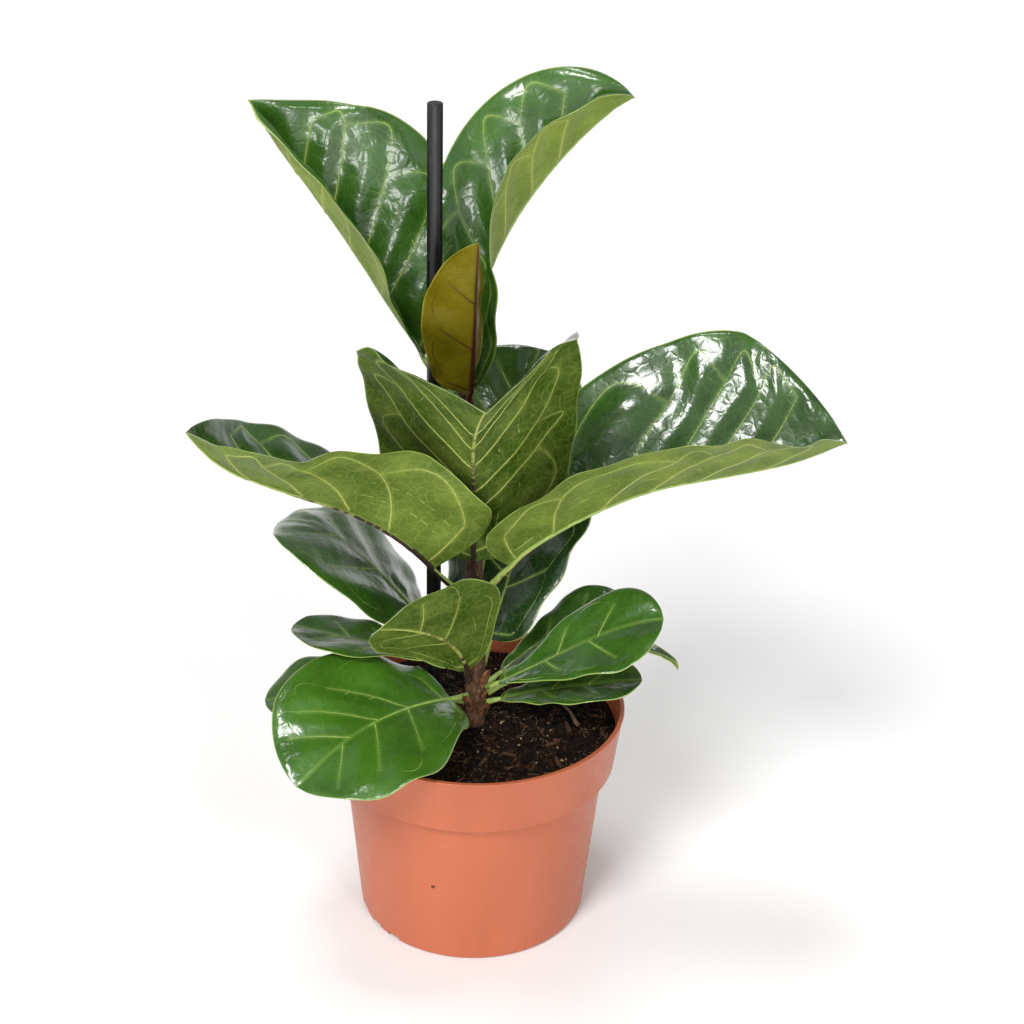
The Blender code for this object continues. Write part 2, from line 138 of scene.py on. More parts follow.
class FigLeafSettings(bpy.types.PropertyGroup):
    rows: IntProperty(name="Rows", description="Divisions along a blade", default=110, min=20)
    columns: IntProperty(name="Columns", description="Divisions across half a blade", default=32, min=6)
    thickness: length("Thickness", "Blade between its veins", 0.6)
    quilting: length("Quilting", "How far the blade bulges between its veins", 2.1)
    ripple: length("Ripple", "How far the blade wanders from its plain fold", 1.3)
    # the dark ends also paint shade, on leaves whose tone is set low for it
    upper_dark: colour("Upper dark", "Old upper side", "#0E2E0B")
    upper_light: colour("Upper light", "Fresh upper side", "#3B6A14")
    under_dark: colour("Under dark", "Shaded underside", "#344E06")
    under_light: colour("Under light", "Fresh underside", "#84983C")
    vein_upper: colour("Upper veins", "Veins seen from above", "#9CB95C")
    vein_under: colour("Under veins", "Veins seen from below", "#B4BE62")
    # dark brown of the midrib's underside: partly its woody colour, partly painted shade
    rib_brown_and_shade: colour("Dark rib", "Woody underside of the midrib", "#2E1C12")
    margin: colour("Margin", "Pale horny edge of the blade", "#AEC463")
    bronze: colour("Bronze", "Young underside", "#6A6408")
    bronze_light: colour("Light bronze", "Its lighter clouds", "#7F7110")
    bronze_margin: colour("Bronze margin", "Its pale edge", "#A89A3A")
    bronze_vein: colour("Bronze veins", "Dark red veins of the young leaf", "#4A1D10")


class FigStageSettings(bpy.types.PropertyGroup):
    distance: length("Distance", "Camera to its target", 1100)
    elevation: FloatProperty(name="Elevation", description="Camera above the horizon",
                             default=math.radians(26.5), subtype="ANGLE")
    roll: FloatProperty(name="Roll", description="Tilt of the picture", default=math.radians(1.5),
                        subtype="ANGLE")
    lens: FloatProperty(name="Lens", description="Focal length in mm on a 36 mm sensor", default=71.2)
    floor: colour("Floor", "Pale floor", "#F6F6F6")
    floor_dull: colour("Dull floor", "Its duller patches", "#F1F1F1")


# Small helpers -----------------------------------------------------------------------------------

def settings(name):
    return getattr(bpy.context.scene, "fig_" + name)


def new_object(name, mesh, *materials):
    obj = bpy.data.objects.new(name, mesh)
    bpy.context.scene.collection.objects.link(obj)
    for material in materials:
        mesh.materials.append(material)
    mesh.shade_smooth()
    return obj


def place(obj, slot, *nodes):
    """The piece rides on the plant's one body and stands for its CAD nodes."""
    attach(obj, "root")
    if nodes:
        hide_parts(*nodes)
    return obj


def add_node(tree, kind, inputs=None, **values):
    """A node with its settings. An input takes a value, an output, or a node for its first output."""
    made = tree.nodes.new(kind)
    for key, value in values.items():
        setattr(made, key, value)
    for key, value in (inputs or {}).items():
        if isinstance(value, bpy.types.Node):
            value = next(output for output in value.outputs if output.enabled)
        if isinstance(value, bpy.types.NodeSocket):
            tree.links.new(value, made.inputs[key])
        else:
            made.inputs[key].default_value = value
    return made


def new_material(name):
    material = bpy.data.materials.new(name)
    material.use_nodes = True
    material.node_tree.nodes.clear()
    return material, material.node_tree


def close_material(material, tree, inputs):
    """Ends a material in a Principled shader. Values that are the same all over sit on its sockets."""
    shader = add_node(tree, "ShaderNodeBsdfPrincipled", inputs)
    add_node(tree, "ShaderNodeOutputMaterial", {"Surface": shader})
    return material


def per_metre(millimetres):
    """Texture scale whose features are about this far apart."""
    return 1 / (millimetres * MM)


def finished_mesh(shape, name):
    """Turns a bmesh into a mesh whose faces look outward."""
    bmesh.ops.recalc_face_normals(shape, faces=shape.faces)
    mesh = bpy.data.meshes.new(name)
    shape.to_mesh(mesh)
    shape.free()
    return mesh


def circle(radius, height, sides):
    return [(radius * math.cos(math.tau * i / sides), radius * math.sin(math.tau * i / sides), height)
            for i in range(sides)]


def lofted_mesh(name, rings):
    """A closed surface through rings of points. A ring of one point closes its end."""
    shape = bmesh.new()
    rows = [[shape.verts.new(point) for point in ring] for ring in rings]
    for first, second in zip(rows, rows[1:]):
        sides = max(len(first), len(second))
        for i in range(sides):
            j = (i + 1) % sides
            corners = [first[i % len(first)], second[i % len(second)],
                       second[j % len(second)], first[j % len(first)]]
            shape.faces.new(list(dict.fromkeys(corners)))
    for row in (rows[0], rows[-1]):
        if len(row) > 1:
            shape.faces.new(row)
    return finished_mesh(shape, name)


def turned_mesh(name, outline, steps):
    """Surface of revolution. The outline runs from the axis, down the outer side, back to the axis."""
    return lofted_mesh(name, [circle(radius, height, steps if radius > 0 else 1)
                              for radius, height in outline])


def arc(centre, radius, start, end, count):
    """Points on an arc in the (radius, height) plane, angles in degrees."""
    return [(centre[0] + radius * math.cos(math.radians(a)),
             centre[1] + radius * math.sin(math.radians(a))) for a in np.linspace(start, end, count)]


def add_tube(vertices, faces, path, radii, sides):
    """Adds a closed tube round a path, with no twist along it, to the lists."""
    path = np.asarray(path, float)
    forward = np.gradient(path, axis=0)
    forward /= np.linalg.norm(forward, axis=1)[:, None] + TINY
    side = np.cross(forward[0], (0.31, 0.17, 0.93))  # a direction that no path starts along
    angles = math.tau * np.arange(sides) / sides
    begin = len(vertices)
    for centre, direction, radius in zip(path, forward, radii):
        side = side - direction * (side @ direction)
        side /= np.linalg.norm(side) + TINY
        over = np.cross(side, direction)
        ring = centre + radius * (np.outer(np.cos(angles), side) + np.outer(np.sin(angles), over))
        vertices.extend(map(tuple, ring))
    last = len(vertices) - sides
    for a in range(begin, last, sides):
        b = a + sides
        faces.extend((a + i, a + (i + 1) % sides, b + (i + 1) % sides, b + i) for i in range(sides))
    faces.append(tuple(begin + i for i in reversed(range(sides))))
    faces.append(tuple(last + i for i in range(sides)))


def mesh_from(name, vertices, faces, materials=None):
    mesh = bpy.data.meshes.new(name)
    mesh.from_pydata([tuple(v) for v in vertices], [], faces)
    if materials is not None:
        mesh.polygons.foreach_set("material_index", materials)
    mesh.update()
    return mesh


def store(mesh, name, values, kind="FLOAT"):
    """Keeps one value, or one vector, for each vertex."""
    attribute = mesh.attributes.new(name, kind, "POINT")
    attribute.data.foreach_set("vector" if kind == "FLOAT_VECTOR" else "value",
                               np.asarray(values, np.float32).ravel())


# Pot ---------------------------------------------------------------------------------------------

DRAIN_HOLES = 6
DRAIN_RADIUS = 4 * MM
SLOT_HEADINGS = (200, 214, 228, 20, 34, 48)
SLOT_WIDTH = 9 * MM
SLOT_HEIGHT = 3.2 * MM
BAND_EDGE = 0.9 * MM  # rounding of the band's lower edge
FLOOR_FILLET = 1.5 * MM  # where the inside wall meets the floor
STEP_FILLET = 0.5 * MM  # where the band's underside meets the body
GATE_HEADING = 253
GATE_HEIGHT = 52 * MM
GATE_OUTLINE = ((0, 0.25), (0.7, 0.25), (1.2, 0.1), (1.5, -0.3), (0, -0.3))  # radius and height, mm


def inner_wall():
    """Inside of the pot from the floor up to the rim, as (radius, height)."""
    pot = settings("pot")
    foot = POT_HEIGHT - pot.collar_height
    band = RIM_RADIUS - pot.lip - pot.collar_taper
    body = band - pot.collar_step
    floor_top = pot.channel + pot.floor
    low = pot.base_radius + (body - pot.base_radius) * floor_top / foot
    return [(low - pot.wall, floor_top), (body - pot.wall, foot + pot.wall),
            (band - pot.wall, foot + pot.wall), (RIM_RADIUS - pot.lip - pot.wall, POT_HEIGHT)]


def moulded_polypropylene():
    """Injection-moulded polypropylene, coloured terracotta.

    Satin, with faint flow marks down the wall, pale rubs from handling and a fine eroded grain.
    """
    pot = settings("pot")
    material, tree = new_material("moulded_polypropylene")
    spot = add_node(tree, "ShaderNodeTexCoord").outputs["Object"]
    drawn = add_node(tree, "ShaderNodeMapping", {"Vector": spot, "Scale": (1, 1, 0.35)})
    flow = add_node(tree, "ShaderNodeTexNoise", {"Vector": drawn, "Scale": per_metre(38), "Detail": 4.0})
    rub = add_node(tree, "ShaderNodeTexNoise", {"Vector": spot, "Scale": per_metre(9), "Detail": 6.0,
                                                "Roughness": 0.7})
    flow_share = add_node(tree, "ShaderNodeMapRange", {"Value": flow, "From Min": 0.35,
                                                       "From Max": 0.7})
    body = add_node(tree, "ShaderNodeMix", {"Factor": flow_share, "A": pot.terracotta,
                                            "B": pot.terracotta_deep}, data_type="RGBA")
    rub_share = add_node(tree, "ShaderNodeMapRange", {"Value": rub, "From Min": 0.62, "From Max": 0.9,
                                                      "To Max": 0.3})
    rubbed = add_node(tree, "ShaderNodeMix", {"Factor": rub_share, "A": body, "B": pot.scuff},
                      data_type="RGBA")
    gloss = add_node(tree, "ShaderNodeMapRange", {"Value": rub, "From Min": 0.3, "From Max": 0.8,
                                                  "To Min": 0.34, "To Max": 0.56})
    # the eroded grain of the mould is finer than this, and is drawn at a millimetre so that it shows
    grain = add_node(tree, "ShaderNodeTexNoise", {"Vector": spot, "Scale": per_metre(1), "Detail": 2.0})
    bump = add_node(tree, "ShaderNodeBump", {"Height": grain, "Distance": 0.04 * MM, "Strength": 0.5})
    return close_material(material, tree, {"Base Color": rubbed, "Roughness": gloss, "Normal": bump,
                                           "IOR": 1.49})


def build_pot():
    pot = settings("pot")
    foot = POT_HEIGHT - pot.collar_height
    band = RIM_RADIUS - pot.lip - pot.collar_taper
    body = band - pot.collar_step
    low, ledge_inside, ledge_outside, mouth = inner_wall()
    slope = math.atan2(body - pot.base_radius, foot)
    inside = pot.base_radius - pot.base_round - pot.foot_width
    outline = [(0, pot.floor), (pot.pad_radius, pot.floor), (pot.pad_radius + pot.channel, low[1])]
    outline += [(low[0] - FLOOR_FILLET, low[1]), (low[0], low[1] + FLOOR_FILLET), ledge_inside]
    outline += [(ledge_outside[0] - BAND_EDGE, ledge_outside[1])]
    outline += [(ledge_outside[0], ledge_outside[1] + BAND_EDGE), mouth]
    outline += arc((RIM_RADIUS - pot.lip, POT_HEIGHT - pot.lip), pot.lip, 90, -60, 7)
    outline += [(RIM_RADIUS - pot.lip - 0.1 * MM, POT_HEIGHT - 3 * pot.lip)]
    outline += arc((band - BAND_EDGE, foot + BAND_EDGE), BAND_EDGE, 0, -90, 6)
    outline += [(body + STEP_FILLET, foot), (body, foot - STEP_FILLET)]
    top = pot.base_radius + pot.base_round * math.tan(slope)
    outline += arc((top - pot.base_round, pot.base_round), pot.base_round, 0, -90, 8)
    outline += [(inside, 0), (inside - 0.5 * pot.channel, pot.channel),
                (pot.pad_radius + pot.channel, pot.channel), (pot.pad_radius, 0), (0, 0)]
    shell = new_object("grow_pot", turned_mesh("grow_pot", outline, pot.steps), moulded_polypropylene())

    # drain holes through the floor, and slots through the foot ring
    shape = bmesh.new()
    holes_out = (pot.pad_radius + pot.channel + inside) / 2
    for index in range(DRAIN_HOLES):
        angle = math.tau * (index + 0.5) / DRAIN_HOLES
        made = bmesh.ops.create_cone(shape, cap_ends=True, segments=32, radius1=DRAIN_RADIUS,
                                     radius2=DRAIN_RADIUS, depth=4 * low[1])
        bmesh.ops.translate(shape, verts=made["verts"],
                            vec=(holes_out * math.cos(angle), holes_out * math.sin(angle), 0))
    for heading in SLOT_HEADINGS:
        made = bmesh.ops.create_cube(shape, size=1)
        reach = 2 * (pot.base_radius - inside + pot.channel)
        bmesh.ops.scale(shape, verts=made["verts"], vec=(reach, SLOT_WIDTH, 2 * SLOT_HEIGHT))
        bmesh.ops.translate(shape, verts=made["verts"], vec=(pot.base_radius, 0, 0))
        bmesh.ops.rotate(shape, verts=made["verts"], cent=(0, 0, 0),
                         matrix=Matrix.Rotation(math.radians(heading), 3, "Z"))
    cutter = new_object("drain_cutters", finished_mesh(shape, "drain_cutters"))
    boolean = shell.modifiers.new("Drainage", "BOOLEAN")
    boolean.operation = "DIFFERENCE"
    boolean.solver = "EXACT"
    boolean.object = cutter
    bpy.context.view_layer.update()
    graph = bpy.context.evaluated_depsgraph_get()
    cut = bpy.data.meshes.new_from_object(shell.evaluated_get(graph))
    shell.modifiers.clear()
    shell.data = cut
    cut.set_sharp_from_angle(angle=math.radians(35))
    bpy.data.objects.remove(cutter, do_unlink=True)
    place(shell, "pot_plastic", "pot")

    # small round scar where the plastic entered the mould; its dark colour is painted shade, as if the
    # scar were a small recess
    heading = math.radians(GATE_HEADING)
    radius = pot.base_radius + (body - pot.base_radius) * GATE_HEIGHT / foot
    gate = turned_mesh("gate_mark", [(out * MM, up * MM) for out, up in GATE_OUTLINE], 24)
    scar = new_object("gate_mark", gate, plain_grain("gate_plastic_painted_shade", pot.gate_shade, 0.5))
    scar.location = (radius * math.cos(heading), radius * math.sin(heading), GATE_HEIGHT)
    scar.rotation_euler = (math.pi / 2 - slope, 0, heading + math.pi / 2)
    place(scar, "pot_plastic")


# Soil --------------------------------------------------------------------------------------------

SOIL_SIDES = 220
SOIL_RINGS = 66
SOIL_CENTRE = 1.2 * MM  # radius of the last ring
MOUND = 1.0 * MM
MOUND_RADIUS = 80 * MM
# loose bits in the order peat crumb, wood chip, mineral grain
BIT_SHARES = (0.76, 0.18, 0.06)
BIT_SIZES = (1.05, 0.9, 0.6)  # mm, the usual radius
BIT_LARGEST = 2.6 * MM
BIT_OVERHANG = 0.3 * MM  # how far one may reach past the soil's edge
FIBRE_POINTS = 9
TWIG_POINTS = 16
TWIG_START = (49 * MM, 20 * MM)
TWIG_END = (60 * MM, -5 * MM)


def damp_peat():
    """Peat compost with coir: near black where damp, with drier brown crumbs, and rough."""
    soil = settings("soil")
    material, tree = new_material("damp_peat")
    spot = add_node(tree, "ShaderNodeTexCoord").outputs["Object"]
    crumb = add_node(tree, "ShaderNodeTexVoronoi", {"Vector": spot, "Scale": per_metre(2.6)})
    grain = add_node(tree, "ShaderNodeTexNoise", {"Vector": spot, "Scale": per_metre(5), "Detail": 8.0,
                                                  "Roughness": 0.7})
    own = add_node(tree, "ShaderNodeSeparateColor", {"Color": crumb.outputs["Color"]})
    dry = add_node(tree, "ShaderNodeMapRange", {"Value": own, "From Min": 0.62, "To Max": 0.8})
    body = add_node(tree, "ShaderNodeMix", {"Factor": dry, "A": soil.peat, "B": soil.peat_light},
                    data_type="RGBA")
    damp = add_node(tree, "ShaderNodeMapRange", {"Value": grain, "From Min": 0.35, "From Max": 0.75,
                                                 "To Min": 0.75, "To Max": 0.0})
    shaded = add_node(tree, "ShaderNodeMix", {"Factor": damp, "A": body, "B": soil.peat_wet},
                      data_type="RGBA")
    gloss = add_node(tree, "ShaderNodeMapRange", {"Value": grain, "From Min": 0.3, "From Max": 0.7,
                                                  "To Min": 0.6, "To Max": 0.95})
    bump = add_node(tree, "ShaderNodeBump", {"Height": grain, "Distance": 0.9 * MM, "Strength": 0.9})
    return close_material(material, tree, {"Base Color": shaded, "Roughness": gloss, "Normal": bump,
                                           "Specular IOR Level": 0.15})


def plain_grain(name, shade, roughness):
    """A loose mineral or wooden bit, mottled at about a millimetre."""
    material, tree = new_material(name)
    spot = add_node(tree, "ShaderNodeTexCoord").outputs["Object"]
    mottle = add_node(tree, "ShaderNodeTexNoise", {"Vector": spot, "Scale": per_metre(1.6),
                                                   "Detail": 4.0})
    share = add_node(tree, "ShaderNodeMapRange", {"Value": mottle, "From Min": 0.35, "From Max": 0.65})
    dark = tuple(0.45 * c for c in shade[:3]) + (1,)
    mixed = add_node(tree, "ShaderNodeMix", {"Factor": share, "A": dark, "B": shade}, data_type="RGBA")
    bump = add_node(tree, "ShaderNodeBump", {"Height": mottle, "Distance": 0.25 * MM})
    return close_material(material, tree, {"Base Color": mixed, "Roughness": roughness,
                                           "Normal": bump})


def soil_height(x, y, top):
    """Surface of the compost: a low mound, soft hollows and coarse crumbs."""
    rise = MOUND * (1 - (math.hypot(x, y) / MOUND_RADIUS) ** 2)
    soft = noise.noise(Vector((x, y, 0)) * per_metre(26)) * 1.6 * MM
    coarse = noise.noise(Vector((x, y, 5 * MM)) * per_metre(4.5)) * 1.1 * MM
    return top + rise + soft + coarse


def build_soil():
    soil = settings("soil")
    top = POT_HEIGHT - soil.drop
    rng = np.random.default_rng(7)
    low, ledge_inside, ledge_outside, mouth = inner_wall()
    share = (top - ledge_outside[1]) / (mouth[1] - ledge_outside[1])
    edge = ledge_outside[0] + (mouth[0] - ledge_outside[0]) * share - GAP * MM
    rings = [circle(radius - GAP * MM, height + GAP * MM, SOIL_SIDES)
             for radius, height in (low, ledge_inside, ledge_outside)]
    rings += [[(x, y, soil_height(x, y, top)) for x, y, _ in circle(radius, top, SOIL_SIDES)]
              for radius in np.linspace(edge, SOIL_CENTRE, SOIL_RINGS)]
    peat = damp_peat()
    place(new_object("compost", lofted_mesh("compost", rings), peat), "soil", "soil")

    # loose crumbs, wood chips and pale mineral grains, as squashed lumpy pebbles
    ball = bmesh.new()
    bmesh.ops.create_icosphere(ball, subdivisions=2, radius=1)
    unit = np.array([v.co for v in ball.verts])
    ball_faces = [tuple(v.index for v in face.verts) for face in ball.faces]
    ball.free()
    finishes = (peat, plain_grain("wood_chip", soil.peat_light, 0.8),
                plain_grain("mineral_grain", soil.mineral, 0.7))
    vertices, faces, kinds = [], [], []
    for _ in range(soil.crumbs):
        heading, reach = rng.uniform(0, math.tau), edge * math.sqrt(rng.uniform(0.006, 0.965))
        x, y = reach * math.cos(heading), reach * math.sin(heading)
        kind = rng.choice(3, p=BIT_SHARES)
        size = rng.lognormal(0, 0.45) * BIT_SIZES[kind] * MM
        size = min(size, BIT_LARGEST, edge - reach + BIT_OVERHANG)
        stretch = np.array([1, rng.uniform(0.5, 1), rng.uniform(0.4, 0.8)])
        if kind == 1:
            stretch = np.array([rng.uniform(1.3, 2.4), 0.5, 0.35])
        turn, tilt = rng.uniform(0, math.tau), rng.normal(0, 0.35)
        lump = unit * (1 + 0.22 * np.sin(unit @ rng.normal(0, 2.2, (3, 1)) + rng.uniform(0, 6)))
        points = lump * stretch * size
        ct, st = math.cos(tilt), math.sin(tilt)
        points = points @ np.array([[ct, 0, st], [0, 1, 0], [-st, 0, ct]])
        c, s = math.cos(turn), math.sin(turn)
        points = points @ np.array([[c, s, 0], [-s, c, 0], [0, 0, 1]])
        points += (x, y, soil_height(x, y, top) + 0.25 * size)
        first = len(vertices)
        vertices.extend(map(tuple, points))
        faces.extend(tuple(first + i for i in face) for face in ball_faces)
        kinds.extend([kind] * len(ball_faces))
    place(new_object("compost_crumbs", mesh_from("compost_crumbs", vertices, faces, kinds), *finishes),
          "soil")

    # fine roots and coir fibres lying on the surface, and one dry twig
    vertices, faces = [], []
    for _ in range(soil.fibres):
        heading, reach = rng.uniform(0, math.tau), edge * math.sqrt(rng.uniform(0.01, 0.85))
        x, y = reach * math.cos(heading), reach * math.sin(heading)
        turn, bend = rng.uniform(0, math.tau), rng.normal(0, 0.18)
        stride = rng.uniform(0.6, 1.6) * MM
        path = []
        for step in range(FIBRE_POINTS):
            path.append((x, y, soil_height(x, y, top) + 0.5 * MM + 0.5 * MM * math.sin(1.3 * step)))
            x, y, turn = x + stride * math.cos(turn), y + stride * math.sin(turn), turn + bend
        if max(math.hypot(px, py) for px, py, _ in path) > edge - 0.8 * MM:
            continue
        thick = rng.uniform(0.1, 0.26) * MM
        add_tube(vertices, faces, path, np.linspace(thick, 0.4 * thick, FIBRE_POINTS), 5)
    fibre = plain_grain("root_fibre", soil.fibre, 0.75)
    place(new_object("root_fibres", mesh_from("root_fibres", vertices, faces), fibre), "soil")
    vertices, faces = [], []
    path = []
    for step in np.linspace(0, 1, TWIG_POINTS):
        spot = Vector(TWIG_START).lerp(Vector(TWIG_END), step) + Vector((1.2 * MM * math.sin(5 * step), 0))
        path.append((spot.x, spot.y, top + (2.6 + 1.6 * step) * MM))
    add_tube(vertices, faces, path, np.linspace(0.6, 1.3, TWIG_POINTS) * MM, 8)
    place(new_object("dry_twig", mesh_from("dry_twig", vertices, faces), fibre), "soil")


# Stem and stake ----------------------------------------------------------------------------------

STEM_LEAN = -8  # mm, sideways shift of the tip
STEM_SIDES = 36
STEM_RINGS = 200
ROOT_END = 4  # mm below the soil, where the fine rings begin
NODE_SWELLING = 0.55  # mm, of the ring at each leaf base
NODE_WIDTH = 1.5  # mm
NODE_DROP = 2  # mm from a leaf base down to its ring
BARK_INSET = 0.15  # mm, so that the swellings stay near the stem's own size
BARK_ROUGHNESS = 0.28  # mm
TIP_TAPER = 0.55
STEM_SCALES = 18
END_ZONE = 2 * MM  # the stake's ends are found from the points this close to them


def soil_top():
    """Height of the soil at the stem, in millimetres."""
    return (POT_HEIGHT - settings("soil").drop) / MM


def stem_share(height):
    return min(1.0, max(0.0, (height - soil_top()) / (STEM_TOP / MM - soil_top())))


def stem_centre(height):
    """Middle of the stem: it leans a little more the higher it gets. Millimetres."""
    return np.array([STEM_LEAN * stem_share(height) ** 2, 0.0, height])


def stem_radius(height):
    stem = settings("stem")
    return (stem.base_radius + (stem.tip_radius - stem.base_radius) * stem_share(height)) / MM


def young_bark():
    """Bark of a stem one or two years old: brown, finely furrowed, with pale corky specks."""
    stem = settings("stem")
    material, tree = new_material("young_bark")
    spot = add_node(tree, "ShaderNodeTexCoord").outputs["Object"]
    drawn = add_node(tree, "ShaderNodeMapping", {"Vector": spot, "Scale": (1, 1, 0.25)})
    furrow = add_node(tree, "ShaderNodeTexNoise", {"Vector": drawn, "Scale": per_metre(1.8),
                                                   "Detail": 6.0, "Roughness": 0.65})
    depth = add_node(tree, "ShaderNodeMapRange", {"Value": furrow, "From Min": 0.35, "From Max": 0.65})
    body = add_node(tree, "ShaderNodeMix", {"Factor": depth, "A": stem.bark_dark, "B": stem.bark},
                    data_type="RGBA")
    cork = add_node(tree, "ShaderNodeTexVoronoi", {"Vector": spot, "Scale": per_metre(3)})
    speck = add_node(tree, "ShaderNodeMapRange", {"Value": cork, "From Min": 0.22, "From Max": 0.12,
                                                  "To Max": 0.6})
    specked = add_node(tree, "ShaderNodeMix", {"Factor": speck, "A": body, "B": stem.cork},
                       data_type="RGBA")
    bump = add_node(tree, "ShaderNodeBump", {"Height": furrow, "Distance": 0.6 * MM})
    return close_material(material, tree, {"Base Color": specked, "Roughness": 0.78, "Normal": bump})


def dry_sheath():
    """Dried bud scales: thin brown paper with darker lengthwise veins. `flat` is in millimetres."""
    stem = settings("stem")
    material, tree = new_material("papery_scale")
    flat = add_node(tree, "ShaderNodeAttribute", attribute_name="flat").outputs["Vector"]
    drawn = add_node(tree, "ShaderNodeMapping", {"Vector": flat, "Scale": (0.12, 1.6, 1)})
    fibre = add_node(tree, "ShaderNodeTexNoise", {"Vector": drawn, "Scale": 1.0, "Detail": 5.0})
    share = add_node(tree, "ShaderNodeMapRange", {"Value": fibre, "From Min": 0.38, "From Max": 0.62})
    mixed = add_node(tree, "ShaderNodeMix", {"Factor": share, "A": stem.sheath_dark,
                                             "B": stem.sheath}, data_type="RGBA")
    bump = add_node(tree, "ShaderNodeBump", {"Height": fibre, "Distance": 0.35 * MM})
    return close_material(material, tree, {"Base Color": mixed, "Roughness": 0.72, "Normal": bump})


def build_stem():
    """Stem with a swollen ring at each leaf base, closed at both ends."""
    rng = np.random.default_rng(3)
    bottom, top = STEM_FOOT / MM, STEM_TOP / MM
    heights = np.concatenate([[bottom], np.linspace(soil_top() - ROOT_END, top - 0.6, STEM_RINGS), [top]])
    nodes = [soil_top() + leaf.node for leaf in LEAVES]
    rings = []
    for height in heights:
        radius = stem_radius(height) * (TIP_TAPER if height > top - 0.5 else 1)
        away = min(abs(node - height - NODE_DROP) for node in nodes)
        radius += NODE_SWELLING * math.exp(-(away / NODE_WIDTH) ** 2) - BARK_INSET
        centre = stem_centre(height)
        ring = []
        for x, y, _ in circle(1, 0, STEM_SIDES):
            rough = noise.noise(Vector((3 * x, 3 * y, height / 5)))
            reach = radius + BARK_ROUGHNESS * rough
            ring.append(((centre[0] + reach * x) * MM, (centre[1] + reach * y) * MM, height * MM))
        rings.append(ring)
    place(new_object("stem_bark", lofted_mesh("stem_bark", rings), young_bark()), "stem_bark", "stem")

    # short papery scales that stay round the stem, thickest near the soil
    papery = dry_sheath()
    for index in range(STEM_SCALES):
        height = 3 + 190 * (index / STEM_SCALES) ** 1.7
        leaf = Leaf(f"stem_scale_{index}", height, (rng.uniform(0, 360),), (rng.uniform(62, 84),), 0.6,
                    rng.uniform(7, 13), 3.0, 3.0, (50,), (50,), 0.8, 0.35, blunt=0.9)
        place(new_object(leaf.name, scale_mesh(leaf, rng), papery), "dry_sheath")


def extruded_black_plastic():
    """Extruded black plastic: satin, with lengthwise drawing lines and a little pale dust."""
    stake = settings("stake")
    material, tree = new_material("extruded_black_plastic")
    spot = add_node(tree, "ShaderNodeTexCoord").outputs["Object"]
    drawn = add_node(tree, "ShaderNodeMapping", {"Vector": spot, "Scale": (1, 1, 0.02)})
    lines = add_node(tree, "ShaderNodeTexNoise", {"Vector": drawn, "Scale": per_metre(0.9),
                                                  "Detail": 3.0})
    dust = add_node(tree, "ShaderNodeTexNoise", {"Vector": spot, "Scale": per_metre(6), "Detail": 6.0})
    share = add_node(tree, "ShaderNodeMapRange", {"Value": dust, "From Min": 0.55, "From Max": 0.8,
                                                  "To Max": 0.5})
    mixed = add_node(tree, "ShaderNodeMix", {"Factor": share, "A": stake.black, "B": stake.dust},
                     data_type="RGBA")
    gloss = add_node(tree, "ShaderNodeMapRange", {"Value": dust, "From Min": 0.3, "From Max": 0.7,
                                                  "To Min": 0.34, "To Max": 0.5})
    bump = add_node(tree, "ShaderNodeBump", {"Height": lines, "Distance": 0.12 * MM, "Strength": 0.6})
    return close_material(material, tree, {"Base Color": mixed, "Roughness": gloss, "Normal": bump,
                                           "IOR": 1.5})


def build_stake():
    """Round stake along the frame's own line, with a bevelled cut at each end."""
    stake = settings("stake")
    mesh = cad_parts["support_stake"].data
    points = np.array([v.co for v in mesh.vertices])
    order = points[:, 2]
    low = points[order < order.min() + END_ZONE].mean(0)
    high = points[order > order.max() - END_ZONE].mean(0)
    line = high - low
    reach = float(np.linalg.norm(line))
    radius, bevel = stake.radius, stake.chamfer
    outline = [(0, reach), (radius - 1.5 * bevel, reach)]
    outline += arc((radius - bevel, reach - bevel), bevel, 90, 0, 5)
    outline += [(radius, reach * share) for share in (0.75, 0.5, 0.25)]
    outline += arc((radius - bevel, bevel), bevel, 0, -90, 5)
    outline += [(0, 0)]
    stick = new_object("support_stake_detail", turned_mesh("support_stake_detail", outline, 48),
                       extruded_black_plastic())
    stick.data.set_sharp_from_angle(angle=math.radians(50))
    stick.location = Vector(low)
    stick.rotation_euler = Vector(line).to_track_quat("Z", "Y").to_euler()
    place(stick, "stake_plastic", "support_stake")


# Leaves ------------------------------------------------------------------------------------------

@dataclass
class Leaf:
    """A leaf, in millimetres and degrees. Angle lists run evenly from the stem to the tip."""

    name: str
    node: float  # height of its base above the soil
    heading: tuple  # direction of the midrib in plan, 0 along +X and 90 along +Y
    rise: tuple  # slope of the midrib above the horizontal
    petiole: float
    length: float  # blade, along the midrib
    left: float  # greatest half-widths, seen from the stem with the upper side up
    right: float
    fold_left: tuple  # how far each half is raised from the flat blade
    fold_right: tuple
    waist: float  # width of the lower blade against its greatest width
    broad: float  # where along the blade it is widest
    blunt: float = 0.55  # power of the tip's outline: 0.5 is round, 1 pointed
    lobe: float = 0.12  # length of the rounded base against the blade
    twist: tuple = (0,)  # turn about the midrib, right half up
    trail: float = 0  # how far the base lobes reach back past the petiole's end
    young: bool = False  # bronze, with red veins
    tone: float = 0.5  # 0 is old and dark, 1 fresh and light; it is set low on leaves that lie in shade, so it is partly painted shade
    rib: float = 0.0  # how dark brown the underside of the midrib is: partly its woody colour, partly painted shade
    curl: float = 0.0  # how far the margins roll under


